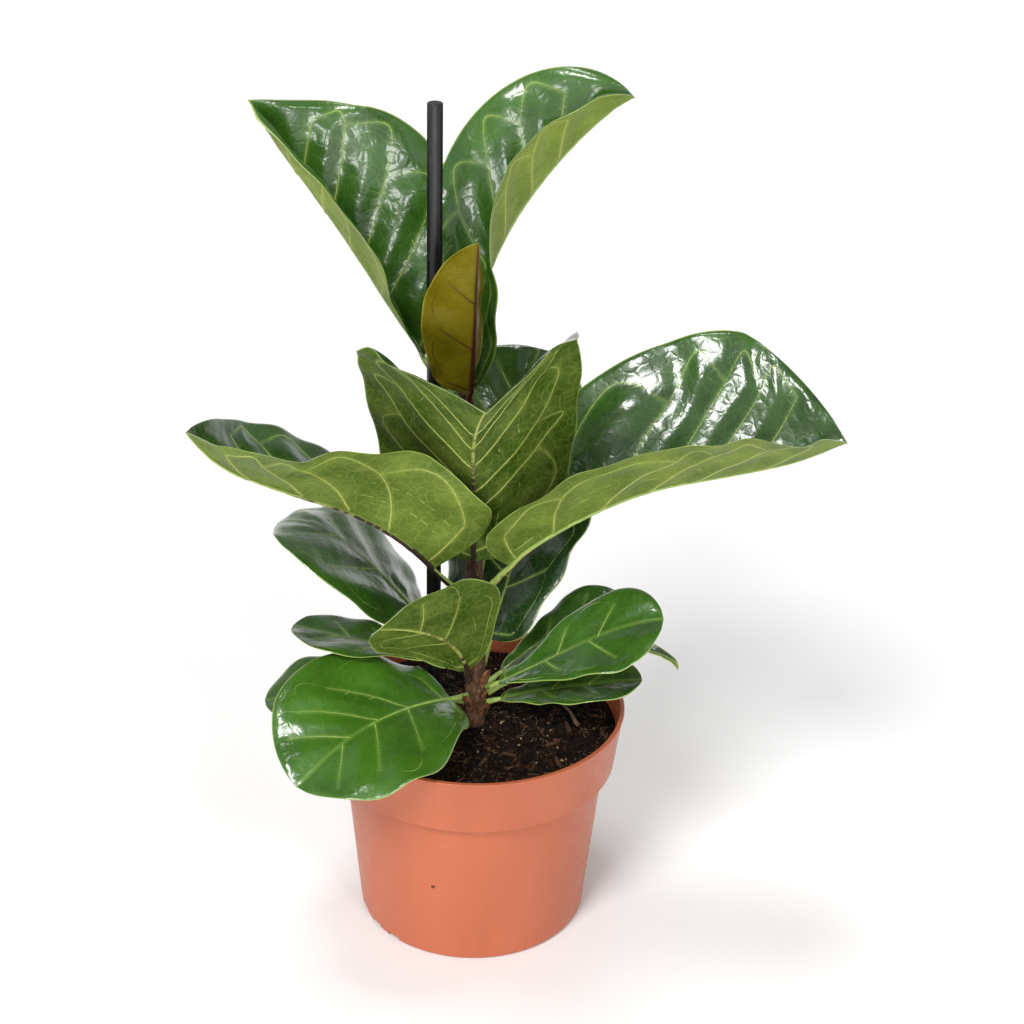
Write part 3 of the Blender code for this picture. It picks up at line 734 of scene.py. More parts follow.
CROWN = (
    Leaf("leaf_crown_left", 195, (140, 160, 175, 180, 180, 180), (40, 50, 58, 56, 54, 66), 34, 162,
         44, 66, (35, 28), (75, 88), 0.6, 0.5, blunt=0.9, tone=0.62, rib=0.5, curl=3),
    Leaf("leaf_crown_right", 197, (80, 60, 25, 5, 0, 0), (80, 77, 66, 56, 48, 36), 8, 182,
         50, 42, (70, 72, 78, 78), (20, 35, 44, 44), 0.25, 0.64, blunt=0.6, tone=0.66, rib=0.5, curl=3),
    Leaf("leaf_young_bronze", 201, (-80, -80, -65), (60, 76, 84, 84), 10, 90,
         18, 27, (70, 60), (8, 8), 0.7, 0.5, young=True),
)
# the low tones of leaf_upper_front and leaf_upper_left are painted shade
UPPER = (
    Leaf("leaf_upper_front", 100, (-92, -90, -78), (80, 62, 42, 36), 10, 171,
         76, 74, (8, 34, 46, 40), (8, 30, 40, 36), 0.62, 0.68, blunt=0.45, lobe=0.3, tone=0.12, rib=1,
         curl=1),
    Leaf("leaf_upper_left", 86, (230, 205, 190, 186), (40, 52, 38, 22, 24, 62), 36, 162,
         62, 50, (68, 66, 40, 35), (8, 20), 0.75, 0.6, blunt=0.6, trail=12, tone=0.3, rib=1),
    Leaf("leaf_upper_right", 88, (-8, 0, 0), (56, 38, 28, 12, 14, 32), 20, 198,
         80, 68, (55, 62), (55, 36), 0.6, 0.66, blunt=0.5, tone=0.4, rib=0.3, curl=2),
    Leaf("leaf_upper_back", 95, (68, 66, 60), (62, 58, 48), 15, 115,
         46, 44, (15,), (15,), 0.6, 0.65, tone=0.2),
)
# the low tones of leaf_middle_back and leaf_middle_front are painted shade
MIDDLE = (
    Leaf("leaf_middle_left", 47, (178, 168, 165), (36, 48, 45, 30, -25), 32, 102,
         46, 46, (2,), (-8,), 0.75, 0.5, tone=0.5),
    Leaf("leaf_middle_back", 35, (60,), (60, 55, 50), 15, 122,
         50, 40, (10,), (10,), 0.6, 0.65, tone=-0.2),
    Leaf("leaf_middle_front", 33, (-115, -125, -130), (74, 52, 36, 28, 20), 8, 102,
         44, 30, (12,), (10,), 0.4, 0.52, blunt=0.7, twist=(-45, -50), lobe=0.2, tone=0.1, rib=0.7),
)
LOWER = (
    Leaf("leaf_lower_left_small", 42, (186, 172, 163), (12, 8, 2), 16, 84,
         22, 20, (5,), (5,), 0.3, 0.64, tone=0.45),
    Leaf("leaf_lower_left", 16, (-166, -173, -178), (16, 10, -2, -14), 10, 104,
         28, 36, (0,), (6,), 0.35, 0.6, tone=0.5),
    Leaf("leaf_lower_front", 21, (-138,), (12, 12, 2, -8, -24, -28), 12, 111,
         52, 52, (-5,), (26,), 0.5, 0.52, blunt=0.6, lobe=0.1, tone=0.85),
    Leaf("leaf_lower_right", 26, (-22, -10, -8), (36, 36, 32, 14), 8, 107,
         25, 30, (10,), (5,), 0.2, 0.74, twist=(-25,), tone=0.6),
    Leaf("leaf_lower_right_rear", 26, (22, 17, 17), (34, 30, 22), 10, 81,
         19, 18, (25, 20), (10,), 0.25, 0.72, tone=0.3),
    Leaf("leaf_lower_right_under", 16, (-14, -12, -7), (24, 17, 10), 8, 84,
         20, 20, (20,), (0,), 0.3, 0.62, tone=0.35),
    Leaf("leaf_lower_right_narrow", 20, (14, 7, 0), (30, 22, 12, -8, -42), 25, 92,
         8, 8, (60,), (60,), 0.7, 0.5, tone=0.3),
)
SHEATHS = (
    Leaf("bud_sheath", 204, (150,), (70, 84), 3, 20, 3.5, 3.5, (45,), (45,), 0.9, 0.4, blunt=0.9),
    Leaf("stipule_front", 26, (-60,), (55, 75), 3, 17, 3.5, 3.5, (35,), (35,), 0.9, 0.4, blunt=0.9),
    Leaf("stipule_left", 12, (-112,), (50, 70), 3, 16,
         3.5, 3.5, (35,), (35,), 0.9, 0.4, blunt=0.9),
    Leaf("stipule_right", 9, (-66,), (45, 65), 3, 15,
         3.5, 3.5, (35,), (35,), 0.9, 0.4, blunt=0.9),
)
LEAVES = CROWN + UPPER + MIDDLE + LOWER

PETIOLE_RADIUS_BASE = 2.1  # mm, as are all lengths of a leaf here
PETIOLE_RADIUS_BLADE = 1.5
MIDRIB_TIP = 0.35
TRAIL_REACH = 0.35  # share of the blade over which the base lobes reach back
TRAIL_POWER = 1.5  # how late across the half the reaching back begins
TIP_POWER = 2.2  # how late along the blade its tip draws in
MIDRIB_STEPS = 240
CREASE_HEIGHT = 2.2
CREASE_WIDTH = 3.2
FULL_LENGTH = 150  # blades at least this long have veins of full thickness and the finest grid
NARROWEST_VEINED = 12  # half-width above which a blade shows side veins
VEIN_PITCH = 31  # between side veins along the midrib
VEIN_ANGLES = (74, 54, 44)  # degrees from the midrib: near the base, 0.3 of the way along, at the tip
FORK = 0.66  # share of the half-width where a side vein forks
ARCH = 0.86  # share of the half-width that the joining arches reach
RUNGS = (0.45, 0.75)  # shares of the side veins where cross veins link them
SIDE_VEIN = (0.42, 0.20)  # radii where a vein starts and where it ends
ARCH_VEIN = (0.20, 0.13)
RUNG_VEIN = (0.10, 0.08)
VEIN_COVER = 0.19  # added to a vein's radius, so that it stands out of the blade
QUILT_REACH = 8.5  # distance from a vein at which the blade has bulged by most of the quilting
HALO_WIDTH = 1.5  # paler green beside a vein
UPPER_VEIN, UNDER_VEIN, UNDER_MIDRIB = 2, 3, 4  # material slots, after the blade's two sides


def along(values, share):
    """Values spread evenly from 0 to 1, read at the given shares."""
    return np.interp(share, np.linspace(0, 1, len(values)), values)


def half_width(leaf, share):
    """Outline of the blade against its greatest half-width: rounded base, waist, broad end, tip."""
    rising = np.clip(share / leaf.broad, 0, 1)
    body = leaf.waist + (1 - leaf.waist) * rising**2 * (3 - 2 * rising)
    base = np.sqrt(1 - (1 - np.clip(share / leaf.lobe, 0, 1)) ** 2)
    ending = np.clip((share - leaf.broad) / (1 - leaf.broad), 0, 1)
    return body * base * (1 - ending**TIP_POWER) ** leaf.blunt


def midrib(leaf, share):
    """Points of the midrib and its three directions: along, to the right, and up from the blade."""
    total = leaf.petiole + leaf.length
    steps = np.linspace(0, 1, MIDRIB_STEPS + 1)

    def directions(at):
        heading, rise = np.radians(along(leaf.heading, at)), np.radians(along(leaf.rise, at))
        forward = np.stack([np.cos(rise) * np.cos(heading), np.cos(rise) * np.sin(heading),
                            np.sin(rise)], 1)
        side = np.stack([np.sin(heading), -np.cos(heading), 0 * heading], 1)
        up = np.stack([-np.sin(rise) * np.cos(heading), -np.sin(rise) * np.sin(heading),
                       np.cos(rise)], 1)
        return forward, side, up

    forward = directions(steps)[0]
    strides = (forward[1:] + forward[:-1]) / 2 * total / MIDRIB_STEPS
    height = soil_top() + leaf.node
    heading, rise = math.radians(leaf.heading[0]), math.radians(leaf.rise[0])
    stand_off = stem_radius(height) + GAP + PETIOLE_RADIUS_BASE * math.sin(rise)
    start = stem_centre(height) + stand_off * np.array([math.cos(heading), math.sin(heading), 0])
    path = start + np.concatenate([np.zeros((1, 3)), np.cumsum(strides, 0)])
    points = np.stack([np.interp(share, steps, path[:, axis]) for axis in range(3)], 1)
    forward, side, up = directions(share)
    blade_share = np.clip((share * total - leaf.petiole) / leaf.length, 0, 1)
    twist = np.radians(along(leaf.twist, blade_share))[:, None]
    side, up = np.cos(twist) * side + np.sin(twist) * up, np.cos(twist) * up - np.sin(twist) * side
    return points, forward, side, up


class Blade:
    """The folded sheet of one leaf as a grid: rows from base to tip, columns from left to right."""

    def __init__(self, leaf, rows, columns):
        self.leaf = leaf
        ease = (1 - np.cos(np.linspace(0, math.pi, rows + 1))) / 2
        self.share = 0.35 * ease + 0.65 * np.linspace(0, 1, rows + 1)
        self.cross = np.linspace(-1, 1, 2 * columns + 1)
        total = leaf.petiole + leaf.length
        points, forward, side, up = midrib(leaf, (leaf.petiole + leaf.length * self.share) / total)
        self.outline = half_width(leaf, self.share)
        widths = np.where(self.cross < 0, leaf.left, leaf.right)
        spread = np.abs(self.cross)
        self.reach = self.outline[:, None] * widths * spread
        fold = np.radians(np.where(self.cross < 0, along(leaf.fold_left, self.share)[:, None],
                                   along(leaf.fold_right, self.share)[:, None]))
        sign = np.sign(self.cross) + (self.cross == 0)
        outward = ((sign * np.cos(fold))[..., None] * side[:, None]
                   + np.sin(fold)[..., None] * up[:, None])
        grid = points[:, None] + self.reach[..., None] * outward
        back = leaf.trail * self.outline * np.clip(1 - self.share / TRAIL_REACH, 0, 1) ** 2
        grid = grid - (back[:, None] * spread**TRAIL_POWER)[..., None] * forward[:, None]
        # the crease at the midrib is rounded, and not a knife fold
        crease = CREASE_HEIGHT * np.sin(np.abs(fold)) * np.exp(-(self.reach / CREASE_WIDTH) ** 2)
        self.grid = grid + (crease * np.minimum(1, self.outline[:, None] * 2))[..., None] * up[:, None]

    def flat(self):
        """Each grid point on the flattened blade: along, and across to the right. Millimetres."""
        sign = np.sign(self.cross)
        return np.stack([np.broadcast_to((self.share * self.leaf.length)[:, None], self.reach.shape),
                         self.reach * sign], -1)

    def normals(self):
        down_rows = np.gradient(self.grid, axis=0)
        across = np.gradient(self.grid, axis=1)
        made = np.cross(across, down_rows)
        size = np.linalg.norm(made, axis=2)[..., None]
        made = np.where(size > 1e-9, made / (size + TINY), 0)
        made[0], made[-1] = made[1], made[-2]
        return made

    def read(self, values, share, cross):
        """Grid values at given shares and places across, by linear interpolation."""
        row = np.interp(share, self.share, np.arange(len(self.share)))
        column = np.interp(cross, self.cross, np.arange(len(self.cross)))
        r, c = np.minimum(row.astype(int), len(self.share) - 2), np.minimum(
            column.astype(int), len(self.cross) - 2)
        fr, fc = (row - r)[:, None], (column - c)[:, None]
        return ((1 - fr) * ((1 - fc) * values[r, c] + fc * values[r, c + 1])
                + fr * ((1 - fc) * values[r + 1, c] + fc * values[r + 1, c + 1]))


def vein_paths(leaf, rng):
    """The vein network as (share, cross) paths with the radius at both ends, in millimetres.

    Side veins leave the midrib, fork two thirds of the way out, and neighbouring forks join in an arch.
    """
    count = max(3, round(leaf.length / VEIN_PITCH))
    size = min(1.0, leaf.length / FULL_LENGTH)
    paths = []
    for sign, width in ((-1, leaf.left), (1, leaf.right)):
        forks = []
        for index in range(count):
            start = 0.03 + 0.80 * (index + (0.12 if sign > 0 else 0.32) * (index > 0)) / count
            start += rng.normal(0, 0.012)
            angle = math.radians(np.interp(index / count, (0, 0.3, 1), VEIN_ANGLES) + rng.normal(0, 3.5))
            steps = np.linspace(0, 1, 26)
            reach = steps * FORK * width / math.sin(angle)
            bend = rng.normal(0.0, 0.05) + 0.08
            share = start + (reach * math.cos(angle) + bend * reach * steps) / leaf.length
            outline = np.maximum(half_width(leaf, share.clip(0, 0.97)), 0.2)
            cross = reach * math.sin(angle) / (width * outline)
            keep = (cross < FORK + rng.normal(0, 0.03)) & (share < 0.93)
            share, cross = share[keep], cross[keep]
            if len(share) < 4:
                continue
            paths.append((share, sign * cross, SIDE_VEIN[0] * size, SIDE_VEIN[1] * size))
            forks.append((share[-1], cross[-1]))
        pairs = list(zip(forks, forks[1:]))
        for (u0, v0), (u1, v1) in pairs:
            t = np.linspace(0, 1, 22)
            hump = np.sin(math.pi * t)
            peak = ARCH + rng.normal(0, 0.02)
            v = v0 + (v1 - v0) * t + (peak - (v0 + v1) / 2) * hump
            u = u0 + (u1 - u0) * t + 0.035 * hump * (1 - t)
            paths.append((u, sign * np.minimum(v, 0.93), ARCH_VEIN[0] * size, ARCH_VEIN[1] * size))
        # cross veins that link each pair of side veins like the rungs of a ladder
        for (u0, v0), (u1, v1) in pairs:
            for rung in RUNGS:
                t = np.linspace(0, 1, 9)
                # the side veins lean, so a lower rung lies nearer the base
                start = (u0 - 0.10 * (1 - rung), v0 * rung)
                end = (u1 - 0.10 * (1 - rung), v1 * rung)
                u = start[0] + (end[0] - start[0]) * t
                v = start[1] + (end[1] - start[1]) * t + 0.04 * np.sin(math.pi * t) * rng.choice((-1, 1))
                if u.min() > 0.03:
                    paths.append((u, sign * v, RUNG_VEIN[0] * size, RUNG_VEIN[1] * size))
    return paths


def vein_distance(blade, paths):
    """Distance of each grid point from the nearest main vein, on the flattened blade, in millimetres."""
    leaf, samples = blade.leaf, []
    for share, cross, radius, _ in paths:
        if radius < ARCH_VEIN[0]:
            continue  # too thin to hold the blade down
        fine = np.linspace(0, len(share) - 1, 70)
        u, v = (np.interp(fine, np.arange(len(share)), values) for values in (share, cross))
        width = np.where(v < 0, leaf.left, leaf.right) * half_width(leaf, u.clip(0, 1))
        samples.append(np.stack([u * leaf.length, v * width, 0 * u], 1))
    samples.append(np.stack([np.linspace(0, leaf.length, 200), np.zeros(200), np.zeros(200)], 1))
    samples = np.concatenate(samples)
    tree = kdtree.KDTree(len(samples))
    for index, point in enumerate(samples):
        tree.insert(point, index)
    tree.balance()
    flat = blade.flat()
    found = [tree.find((x, y, 0))[2] for x, y in flat.reshape(-1, 2)]
    return np.array(found).reshape(flat.shape[:2])


def relief(blade, distance, rng):
    """How far each grid point is lifted along its normal: quilting between veins, ripples, rolled edge."""
    leaf, look = blade.leaf, settings("leaf")
    flat = blade.flat()
    scale = min(1.0, leaf.length / 130)
    spread = np.abs(blade.cross)[None, :]
    rooted = np.clip(blade.share / 0.10, 0, 1)[:, None] * np.clip((1 - blade.share) / 0.05, 0, 1)[:, None]
    away = np.clip(1 - spread**6, 0, 1)

    def waves(count, shortest, longest, stretch):
        """Plane waves in random directions over the flattened blade."""
        for _ in range(count):
            heading, wave = rng.uniform(0, math.tau), rng.uniform(shortest, longest) * stretch
            across = flat[..., 0] * math.cos(heading) + flat[..., 1] * math.sin(heading)
            yield np.sin(across * math.tau / wave + rng.uniform(0, 6))

    lift = look.quilting / MM * scale * (1 - np.exp(-(distance / QUILT_REACH) ** 2)) * away
    for wave in waves(5, 24, 60, max(0.5, scale)):
        lift = lift + look.ripple / MM * scale * 0.35 * wave * spread
    for wave in waves(6, 5, 11, 1):
        lift = lift + 0.03 * wave * away
    for wave, height in ((46, 1.2), (27, 0.6)):
        edge_wave = np.sin(blade.share * math.tau * leaf.length / wave + rng.uniform(0, 6))[:, None]
        side = np.where(blade.cross < 0, edge_wave, np.roll(edge_wave, 9, 0))
        lift = lift + height * scale * side * spread**3
    lift = lift - leaf.curl * np.clip((spread - 0.72) / 0.28, 0, 1) ** 2
    return lift * rooted


def sheet_faces(rows, columns):
    """Faces of a grid of points with an upper and an under side, joined round its edge.

    The second list holds 1 for each face of the under side, and 0 for the rest.
    """
    def at(row, column, below=0):
        return (below * rows + row) * columns + column

    faces, kinds = [], []
    for row in range(rows - 1):
        for column in range(columns - 1):
            faces.append((at(row, column), at(row, column + 1), at(row + 1, column + 1),
                          at(row + 1, column)))
            faces.append((at(row, column, 1), at(row + 1, column, 1), at(row + 1, column + 1, 1),
                          at(row, column + 1, 1)))
            kinds += [0, 1]
        for column, flip in ((0, False), (columns - 1, True)):
            strip = (at(row, column), at(row + 1, column), at(row + 1, column, 1), at(row, column, 1))
            faces.append(strip[::-1] if flip else strip)
            kinds.append(0)
    for row, flip in ((0, True), (rows - 1, False)):
        for column in range(columns - 1):
            strip = (at(row, column), at(row, column + 1), at(row, column + 1, 1), at(row, column, 1))
            faces.append(strip[::-1] if flip else strip)
            kinds.append(0)
    return faces, kinds


def leaf_mesh(leaf, rng):
    """Blade with both its sides, its veins as raised cords, and its petiole running on as the midrib."""
    look = settings("leaf")
    size = min(1.0, max(0.45, leaf.length / FULL_LENGTH))
    rows, columns = max(40, int(look.rows * size)), max(12, int(look.columns * size))
    blade = Blade(leaf, rows, columns)
    paths = vein_paths(leaf, rng) if leaf.left > NARROWEST_VEINED else []
    distance = vein_distance(blade, paths)
    blade.grid = blade.grid + relief(blade, distance, rng)[..., None] * blade.normals()
    normal = blade.normals()
    spread = np.abs(blade.cross)[None, :]
    half = 0.5 * look.thickness / MM * (1 - 0.85 * spread**8) * np.ones_like(blade.reach)
    top, under = blade.grid + half[..., None] * normal, blade.grid - half[..., None] * normal
    vertices = [tuple(v) for v in np.concatenate([top.reshape(-1, 3), under.reshape(-1, 3)])]
    on_sheets = len(vertices)
    faces, kinds = sheet_faces(*blade.reach.shape)
    cord_flat, cord_brown_and_shade = [], []

    def add_vein(path, radii, ups, sides, under_kind, coordinates, brown_and_shade=0.0):
        """A cord whose faces take the upper or the under finish by the way that they look."""
        begin, first = len(vertices), len(faces)
        add_tube(vertices, faces, path, radii, sides)
        for face in faces[first:]:
            row = min((face[0] - begin) // sides, len(path) - 1)
            outward = np.array([vertices[i] for i in face]).mean(0) - path[row]
            kinds.append(UPPER_VEIN if outward @ ups[row] > 0 else under_kind)
        for row, spot in enumerate(coordinates):
            cord_flat.extend([tuple(spot)] * sides)
            # the midrib's dark brown, partly woody colour and partly painted shade, fades from its base
            cord_brown_and_shade.extend([brown_and_shade * (1 - row / len(path))] * sides)

    for share, cross, radius, thin in paths:
        path = blade.read(blade.grid, share, cross)
        ups = blade.read(normal, share, cross)
        width = np.where(cross < 0, leaf.left, leaf.right) * half_width(leaf, share.clip(0, 1))
        coordinates = np.stack([share * leaf.length, cross * width, 0 * share], 1)
        radii = np.linspace(radius, thin, len(path))
        # set a little below the middle, so that a vein stands out more on the underside
        add_vein(path - ups * (0.12 * radii)[:, None], radii + VEIN_COVER, ups, 6, UNDER_VEIN,
                 coordinates)

    # petiole and midrib are one cord from the stem to near the tip
    total = leaf.petiole + leaf.length
    stalk_share = np.linspace(0, leaf.petiole / total, 14)[:-1]
    stalk, _, _, stalk_up = midrib(leaf, stalk_share)
    ribs = np.arange(1, rows - 1)
    rib_up = normal[ribs, columns]
    path = np.concatenate([stalk, blade.grid[ribs, columns]
                           - rib_up * np.linspace(0.9, 0.2, len(ribs))[:, None]])
    stoutness = min(1.0, 0.55 + 0.45 * leaf.length / 120)
    radii = np.concatenate([np.linspace(PETIOLE_RADIUS_BASE, PETIOLE_RADIUS_BLADE, len(stalk)),
                            np.linspace(PETIOLE_RADIUS_BLADE, MIDRIB_TIP, len(ribs))]) * stoutness
    radii[0] *= 1.15  # flares where it joins the stem
    coordinates = np.zeros((len(path), 3))
    coordinates[:, 0] = np.concatenate([stalk_share * total - leaf.petiole,
                                        blade.share[ribs] * leaf.length])
    add_vein(path, radii, np.concatenate([stalk_up, rib_up]), 12, UNDER_MIDRIB, coordinates,
             brown_and_shade=leaf.rib)

    mesh = mesh_from(leaf.name + "_blade", np.array(vertices) * MM, faces, kinds)
    flat = blade.flat()
    flat = np.concatenate([flat, np.zeros(flat.shape[:2] + (1,))], -1).reshape(-1, 3)
    store(mesh, "flat", np.concatenate([flat, flat, cord_flat]) + (0, 0, rng.uniform(0, 900)),
          "FLOAT_VECTOR")
    halo = np.exp(-(distance / HALO_WIDTH) ** 2).reshape(-1)
    store(mesh, "vein", np.concatenate([halo, halo, np.ones(len(cord_brown_and_shade))]))
    widths = np.where(blade.cross < 0, leaf.left, leaf.right) * blade.outline[:, None]
    margin = (widths * (1 - spread)).reshape(-1)
    store(mesh, "edge", np.concatenate([margin, margin, np.full(len(cord_brown_and_shade), 9.0)]))
    # one tone for the whole leaf: partly its age, partly painted shade
    store(mesh, "tone", np.full(len(vertices), leaf.tone))
    # dark brown of the midrib cords: partly woody colour, partly painted shade
    store(mesh, "brown_and_shade", np.concatenate([np.zeros(on_sheets), cord_brown_and_shade]))
    shape = bmesh.new()
    shape.from_mesh(mesh)
    bmesh.ops.remove_doubles(shape, verts=shape.verts, dist=1e-7)
    bmesh.ops.dissolve_degenerate(shape, dist=1e-8, edges=shape.edges)
    shape.to_mesh(mesh)
    shape.free()
    return mesh


def scale_mesh(leaf, rng):
    """A dry bud scale: a thin closed sheet that curls and waves a little."""
    blade = Blade(leaf, 22, 7)
    flat = blade.flat()
    wave = 0.3 * np.sin(flat[..., 0] * rng.uniform(0.7, 1.1) + flat[..., 1] * 1.7 + rng.uniform(0, 6))
    normal = blade.normals()
    blade.grid = blade.grid + (wave * np.clip(blade.share / 0.2, 0, 1)[:, None])[..., None] * normal
    half = 0.14 * (1 - 0.6 * blade.share)[:, None, None] * normal
    points = np.concatenate([(blade.grid + half).reshape(-1, 3), (blade.grid - half).reshape(-1, 3)])
    mesh = mesh_from(leaf.name, points * MM, sheet_faces(*flat.shape[:2])[0])
    coordinates = np.concatenate([flat.reshape(-1, 2)] * 2)
    coordinates = np.concatenate([coordinates, np.full((len(coordinates), 1), rng.uniform(0, 99))], 1)
    store(mesh, "flat", coordinates, "FLOAT_VECTOR")
    return mesh


def leaf_skin(name, dark, light, vein, margin, gloss, net, relief, coat=0.0):
    """One side of a blade, coloured by its age and by painted shade, its veins and its pale margin.

    The `flat` attribute is in millimetres, so pattern scales are per millimetre.
    """
    material, tree = new_material(name)
    flat = add_node(tree, "ShaderNodeAttribute", attribute_name="flat").outputs["Vector"]
    tone, near, edge = (add_node(tree, "ShaderNodeAttribute", attribute_name=key).outputs["Fac"]
                        for key in ("tone", "vein", "edge"))
    # age shows as soft clouds of lighter and darker green, a couple of centimetres wide
    cloud = add_node(tree, "ShaderNodeTexNoise", {"Vector": flat, "Scale": 1 / 22, "Detail": 5.0})
    cloudy = add_node(tree, "ShaderNodeMapRange", {"Value": cloud, "From Min": 0.3, "From Max": 0.7,
                                                   "To Min": -0.25, "To Max": 0.25})
    # the leaf's tone, partly age and partly painted shade, with the clouds added
    age = add_node(tree, "ShaderNodeMath", {0: tone, 1: cloudy}, operation="ADD", use_clamp=True)
    body = add_node(tree, "ShaderNodeMix", {"Factor": age, "A": dark, "B": light}, data_type="RGBA")
    # the smallest veins make a net with meshes about 5 mm wide, and a finer one inside it
    nets = [add_node(tree, "ShaderNodeTexVoronoi", {"Vector": flat, "Scale": 1 / mesh_size},
                     feature="DISTANCE_TO_EDGE") for mesh_size in (5.2, 1.9)]
    netted = body
    for cells, line_width, strength in zip(nets, (0.08, 0.12), (net, 0.45 * net)):
        line = add_node(tree, "ShaderNodeMapRange", {"Value": cells, "From Min": line_width,
                                                     "From Max": 0.0, "To Max": strength})
        netted = add_node(tree, "ShaderNodeMix", {"Factor": line, "A": netted, "B": vein},
                          data_type="RGBA")
    halo = add_node(tree, "ShaderNodeMapRange", {"Value": near, "From Min": 0.25, "To Max": 0.22})
    veined = add_node(tree, "ShaderNodeMix", {"Factor": halo, "A": netted, "B": vein},
                      data_type="RGBA")
    rim = add_node(tree, "ShaderNodeMapRange", {"Value": edge, "From Min": 0.8, "From Max": 0.2,
                                                "To Max": 0.7})
    edged = add_node(tree, "ShaderNodeMix", {"Factor": rim, "A": veined, "B": margin},
                     data_type="RGBA")
    shine = add_node(tree, "ShaderNodeMapRange", {"Value": cloud, "From Min": 0.3, "From Max": 0.75,
                                                  "To Min": gloss[0], "To Max": gloss[1]})
    # each mesh of the net stands up like a tiny cushion
    cushion = add_node(tree, "ShaderNodeMapRange", {"Value": nets[0], "From Max": 0.22,
                                                    "To Max": 0.5})
    pore = add_node(tree, "ShaderNodeTexNoise", {"Vector": flat, "Scale": 1 / 1.6, "Detail": 3.0})
    height = add_node(tree, "ShaderNodeMath", {0: pore, 1: 0.35, 2: cushion}, operation="MULTIPLY_ADD")
    bump = add_node(tree, "ShaderNodeBump", {"Height": height, "Distance": relief * MM, "Strength": 0.7})
    return close_material(material, tree, {
        "Base Color": edged, "Roughness": shine, "Normal": bump, "IOR": 1.45,
        "Coat Weight": coat, "Coat Roughness": 0.14, "Coat Normal": bump,
        "Specular IOR Level": 0.5 if coat else 0.3,
    })


def vein_skin(name, pale, brown_and_shade_colour, roughness):
    """A vein or stalk: a smooth fibrous cord, dark brown where a per-vertex attribute says; that brown is
    partly woody colour and partly painted shade.
    """
    material, tree = new_material(name)
    flat = add_node(tree, "ShaderNodeAttribute", attribute_name="flat").outputs["Vector"]
    brown_and_shade = add_node(tree, "ShaderNodeAttribute", attribute_name="brown_and_shade").outputs["Fac"]
    drawn = add_node(tree, "ShaderNodeMapping", {"Vector": flat, "Scale": (0.25, 1, 1)})
    fibre = add_node(tree, "ShaderNodeTexNoise", {"Vector": drawn, "Scale": 0.8, "Detail": 4.0})
    dim = tuple(0.7 * c for c in pale[:3]) + (1,)
    shade = add_node(tree, "ShaderNodeMapRange", {"Value": fibre, "From Min": 0.35, "From Max": 0.7})
    green = add_node(tree, "ShaderNodeMix", {"Factor": shade, "A": dim, "B": pale}, data_type="RGBA")
    patchy = add_node(tree, "ShaderNodeMath", {0: brown_and_shade, 1: 0.7, 2: fibre}, operation="MULTIPLY_ADD")
    share = add_node(tree, "ShaderNodeMapRange", {"Value": patchy, "From Min": 0.68, "From Max": 0.9})
    mixed = add_node(tree, "ShaderNodeMix", {"Factor": share, "A": green, "B": brown_and_shade_colour},
                     data_type="RGBA")
    bump = add_node(tree, "ShaderNodeBump", {"Height": fibre, "Distance": 0.15 * MM, "Strength": 0.6})
    return close_material(material, tree, {"Base Color": mixed, "Roughness": roughness,
                                           "Normal": bump, "IOR": 1.45})


def build_leaves():
    look = settings("leaf")
    # upper side: thick waxy cuticle, deep green, glossy; underside: matte and paler
    green = (
        leaf_skin("waxy_leaf_upper", look.upper_dark, look.upper_light, look.vein_upper, look.margin,
                  (0.25, 0.38), 0.05, 0.16, coat=0.8),
        leaf_skin("matte_leaf_under", look.under_dark, look.under_light, look.vein_under, look.margin,
                  (0.52, 0.66), 0.14, 0.3),
        vein_skin("vein_upper", look.vein_upper, look.vein_upper, 0.42),
        vein_skin("vein_under", look.vein_under, look.vein_under, 0.6),
        # the dark brown of this finish is partly woody colour, partly painted shade
        vein_skin("midrib_under", look.vein_under, look.rib_brown_and_shade, 0.6),
    )
    young = (
        leaf_skin("young_leaf_upper", look.under_dark, look.upper_light, look.bronze_vein, look.bronze,
                  (0.3, 0.45), 0.2, 0.2, coat=0.2),
        leaf_skin("young_leaf_under", look.bronze, look.bronze_light, look.bronze_vein,
                  look.bronze_margin, (0.38, 0.5), 0.12, 0.2),
        vein_skin("young_vein_upper", look.bronze_vein, look.bronze_vein, 0.5),
        vein_skin("young_vein_under", look.bronze_vein, look.bronze_vein, 0.5),
        vein_skin("young_midrib_under", look.bronze_vein, look.bronze_vein, 0.5),
    )
    for index, leaf in enumerate(LEAVES):
        mesh = leaf_mesh(leaf, np.random.default_rng(100 + index))
        obj = new_object(leaf.name + "_blade", mesh, *(young if leaf.young else green))
        place(obj, "leaf_bronze" if leaf.young else "leaf_green", leaf.name)


def build_sheaths():
    papery = dry_sheath()
    for index, leaf in enumerate(SHEATHS):
        mesh = scale_mesh(leaf, np.random.default_rng(50 + index))
        place(new_object(leaf.name + "_scale", mesh, papery), "dry_sheath", leaf.name)


# Stage -------------------------------------------------------------------------------------------

FLOOR_SIZE = 14
SENSOR_WIDTH = 36
CAMERA_AIM = (0.018, 0, 0.253)
DOME_RISE = (0.15, 0.5)  # heights on the unit sphere between which the dome darkens
DOME_GLOW = (0.95, 0.32)  # its strength below and above them
# broad soft suns that light the whole floor alike: where each shines from, strength, spread in degrees
SUNS = {"key": ((-0.3, -0.6, 0.74), 1.9, 18),
        "front": ((0.38, -0.66, 0.62), 0.5, 12),
        "top": ((-0.15, 0.06, 1.0), 0.75, 14)}
# low softboxes in front, which the upright crown leaves mirror: place, size, power
SOFTBOXES = {"left_softbox": ((-0.42, -1.5, 0.42), 0.34, 4.2),
             "right_softbox": ((0.24, -1.5, 0.24), 0.30, 3.8)}
SOFTBOX_AIM = Vector((0, 0, 0.4))


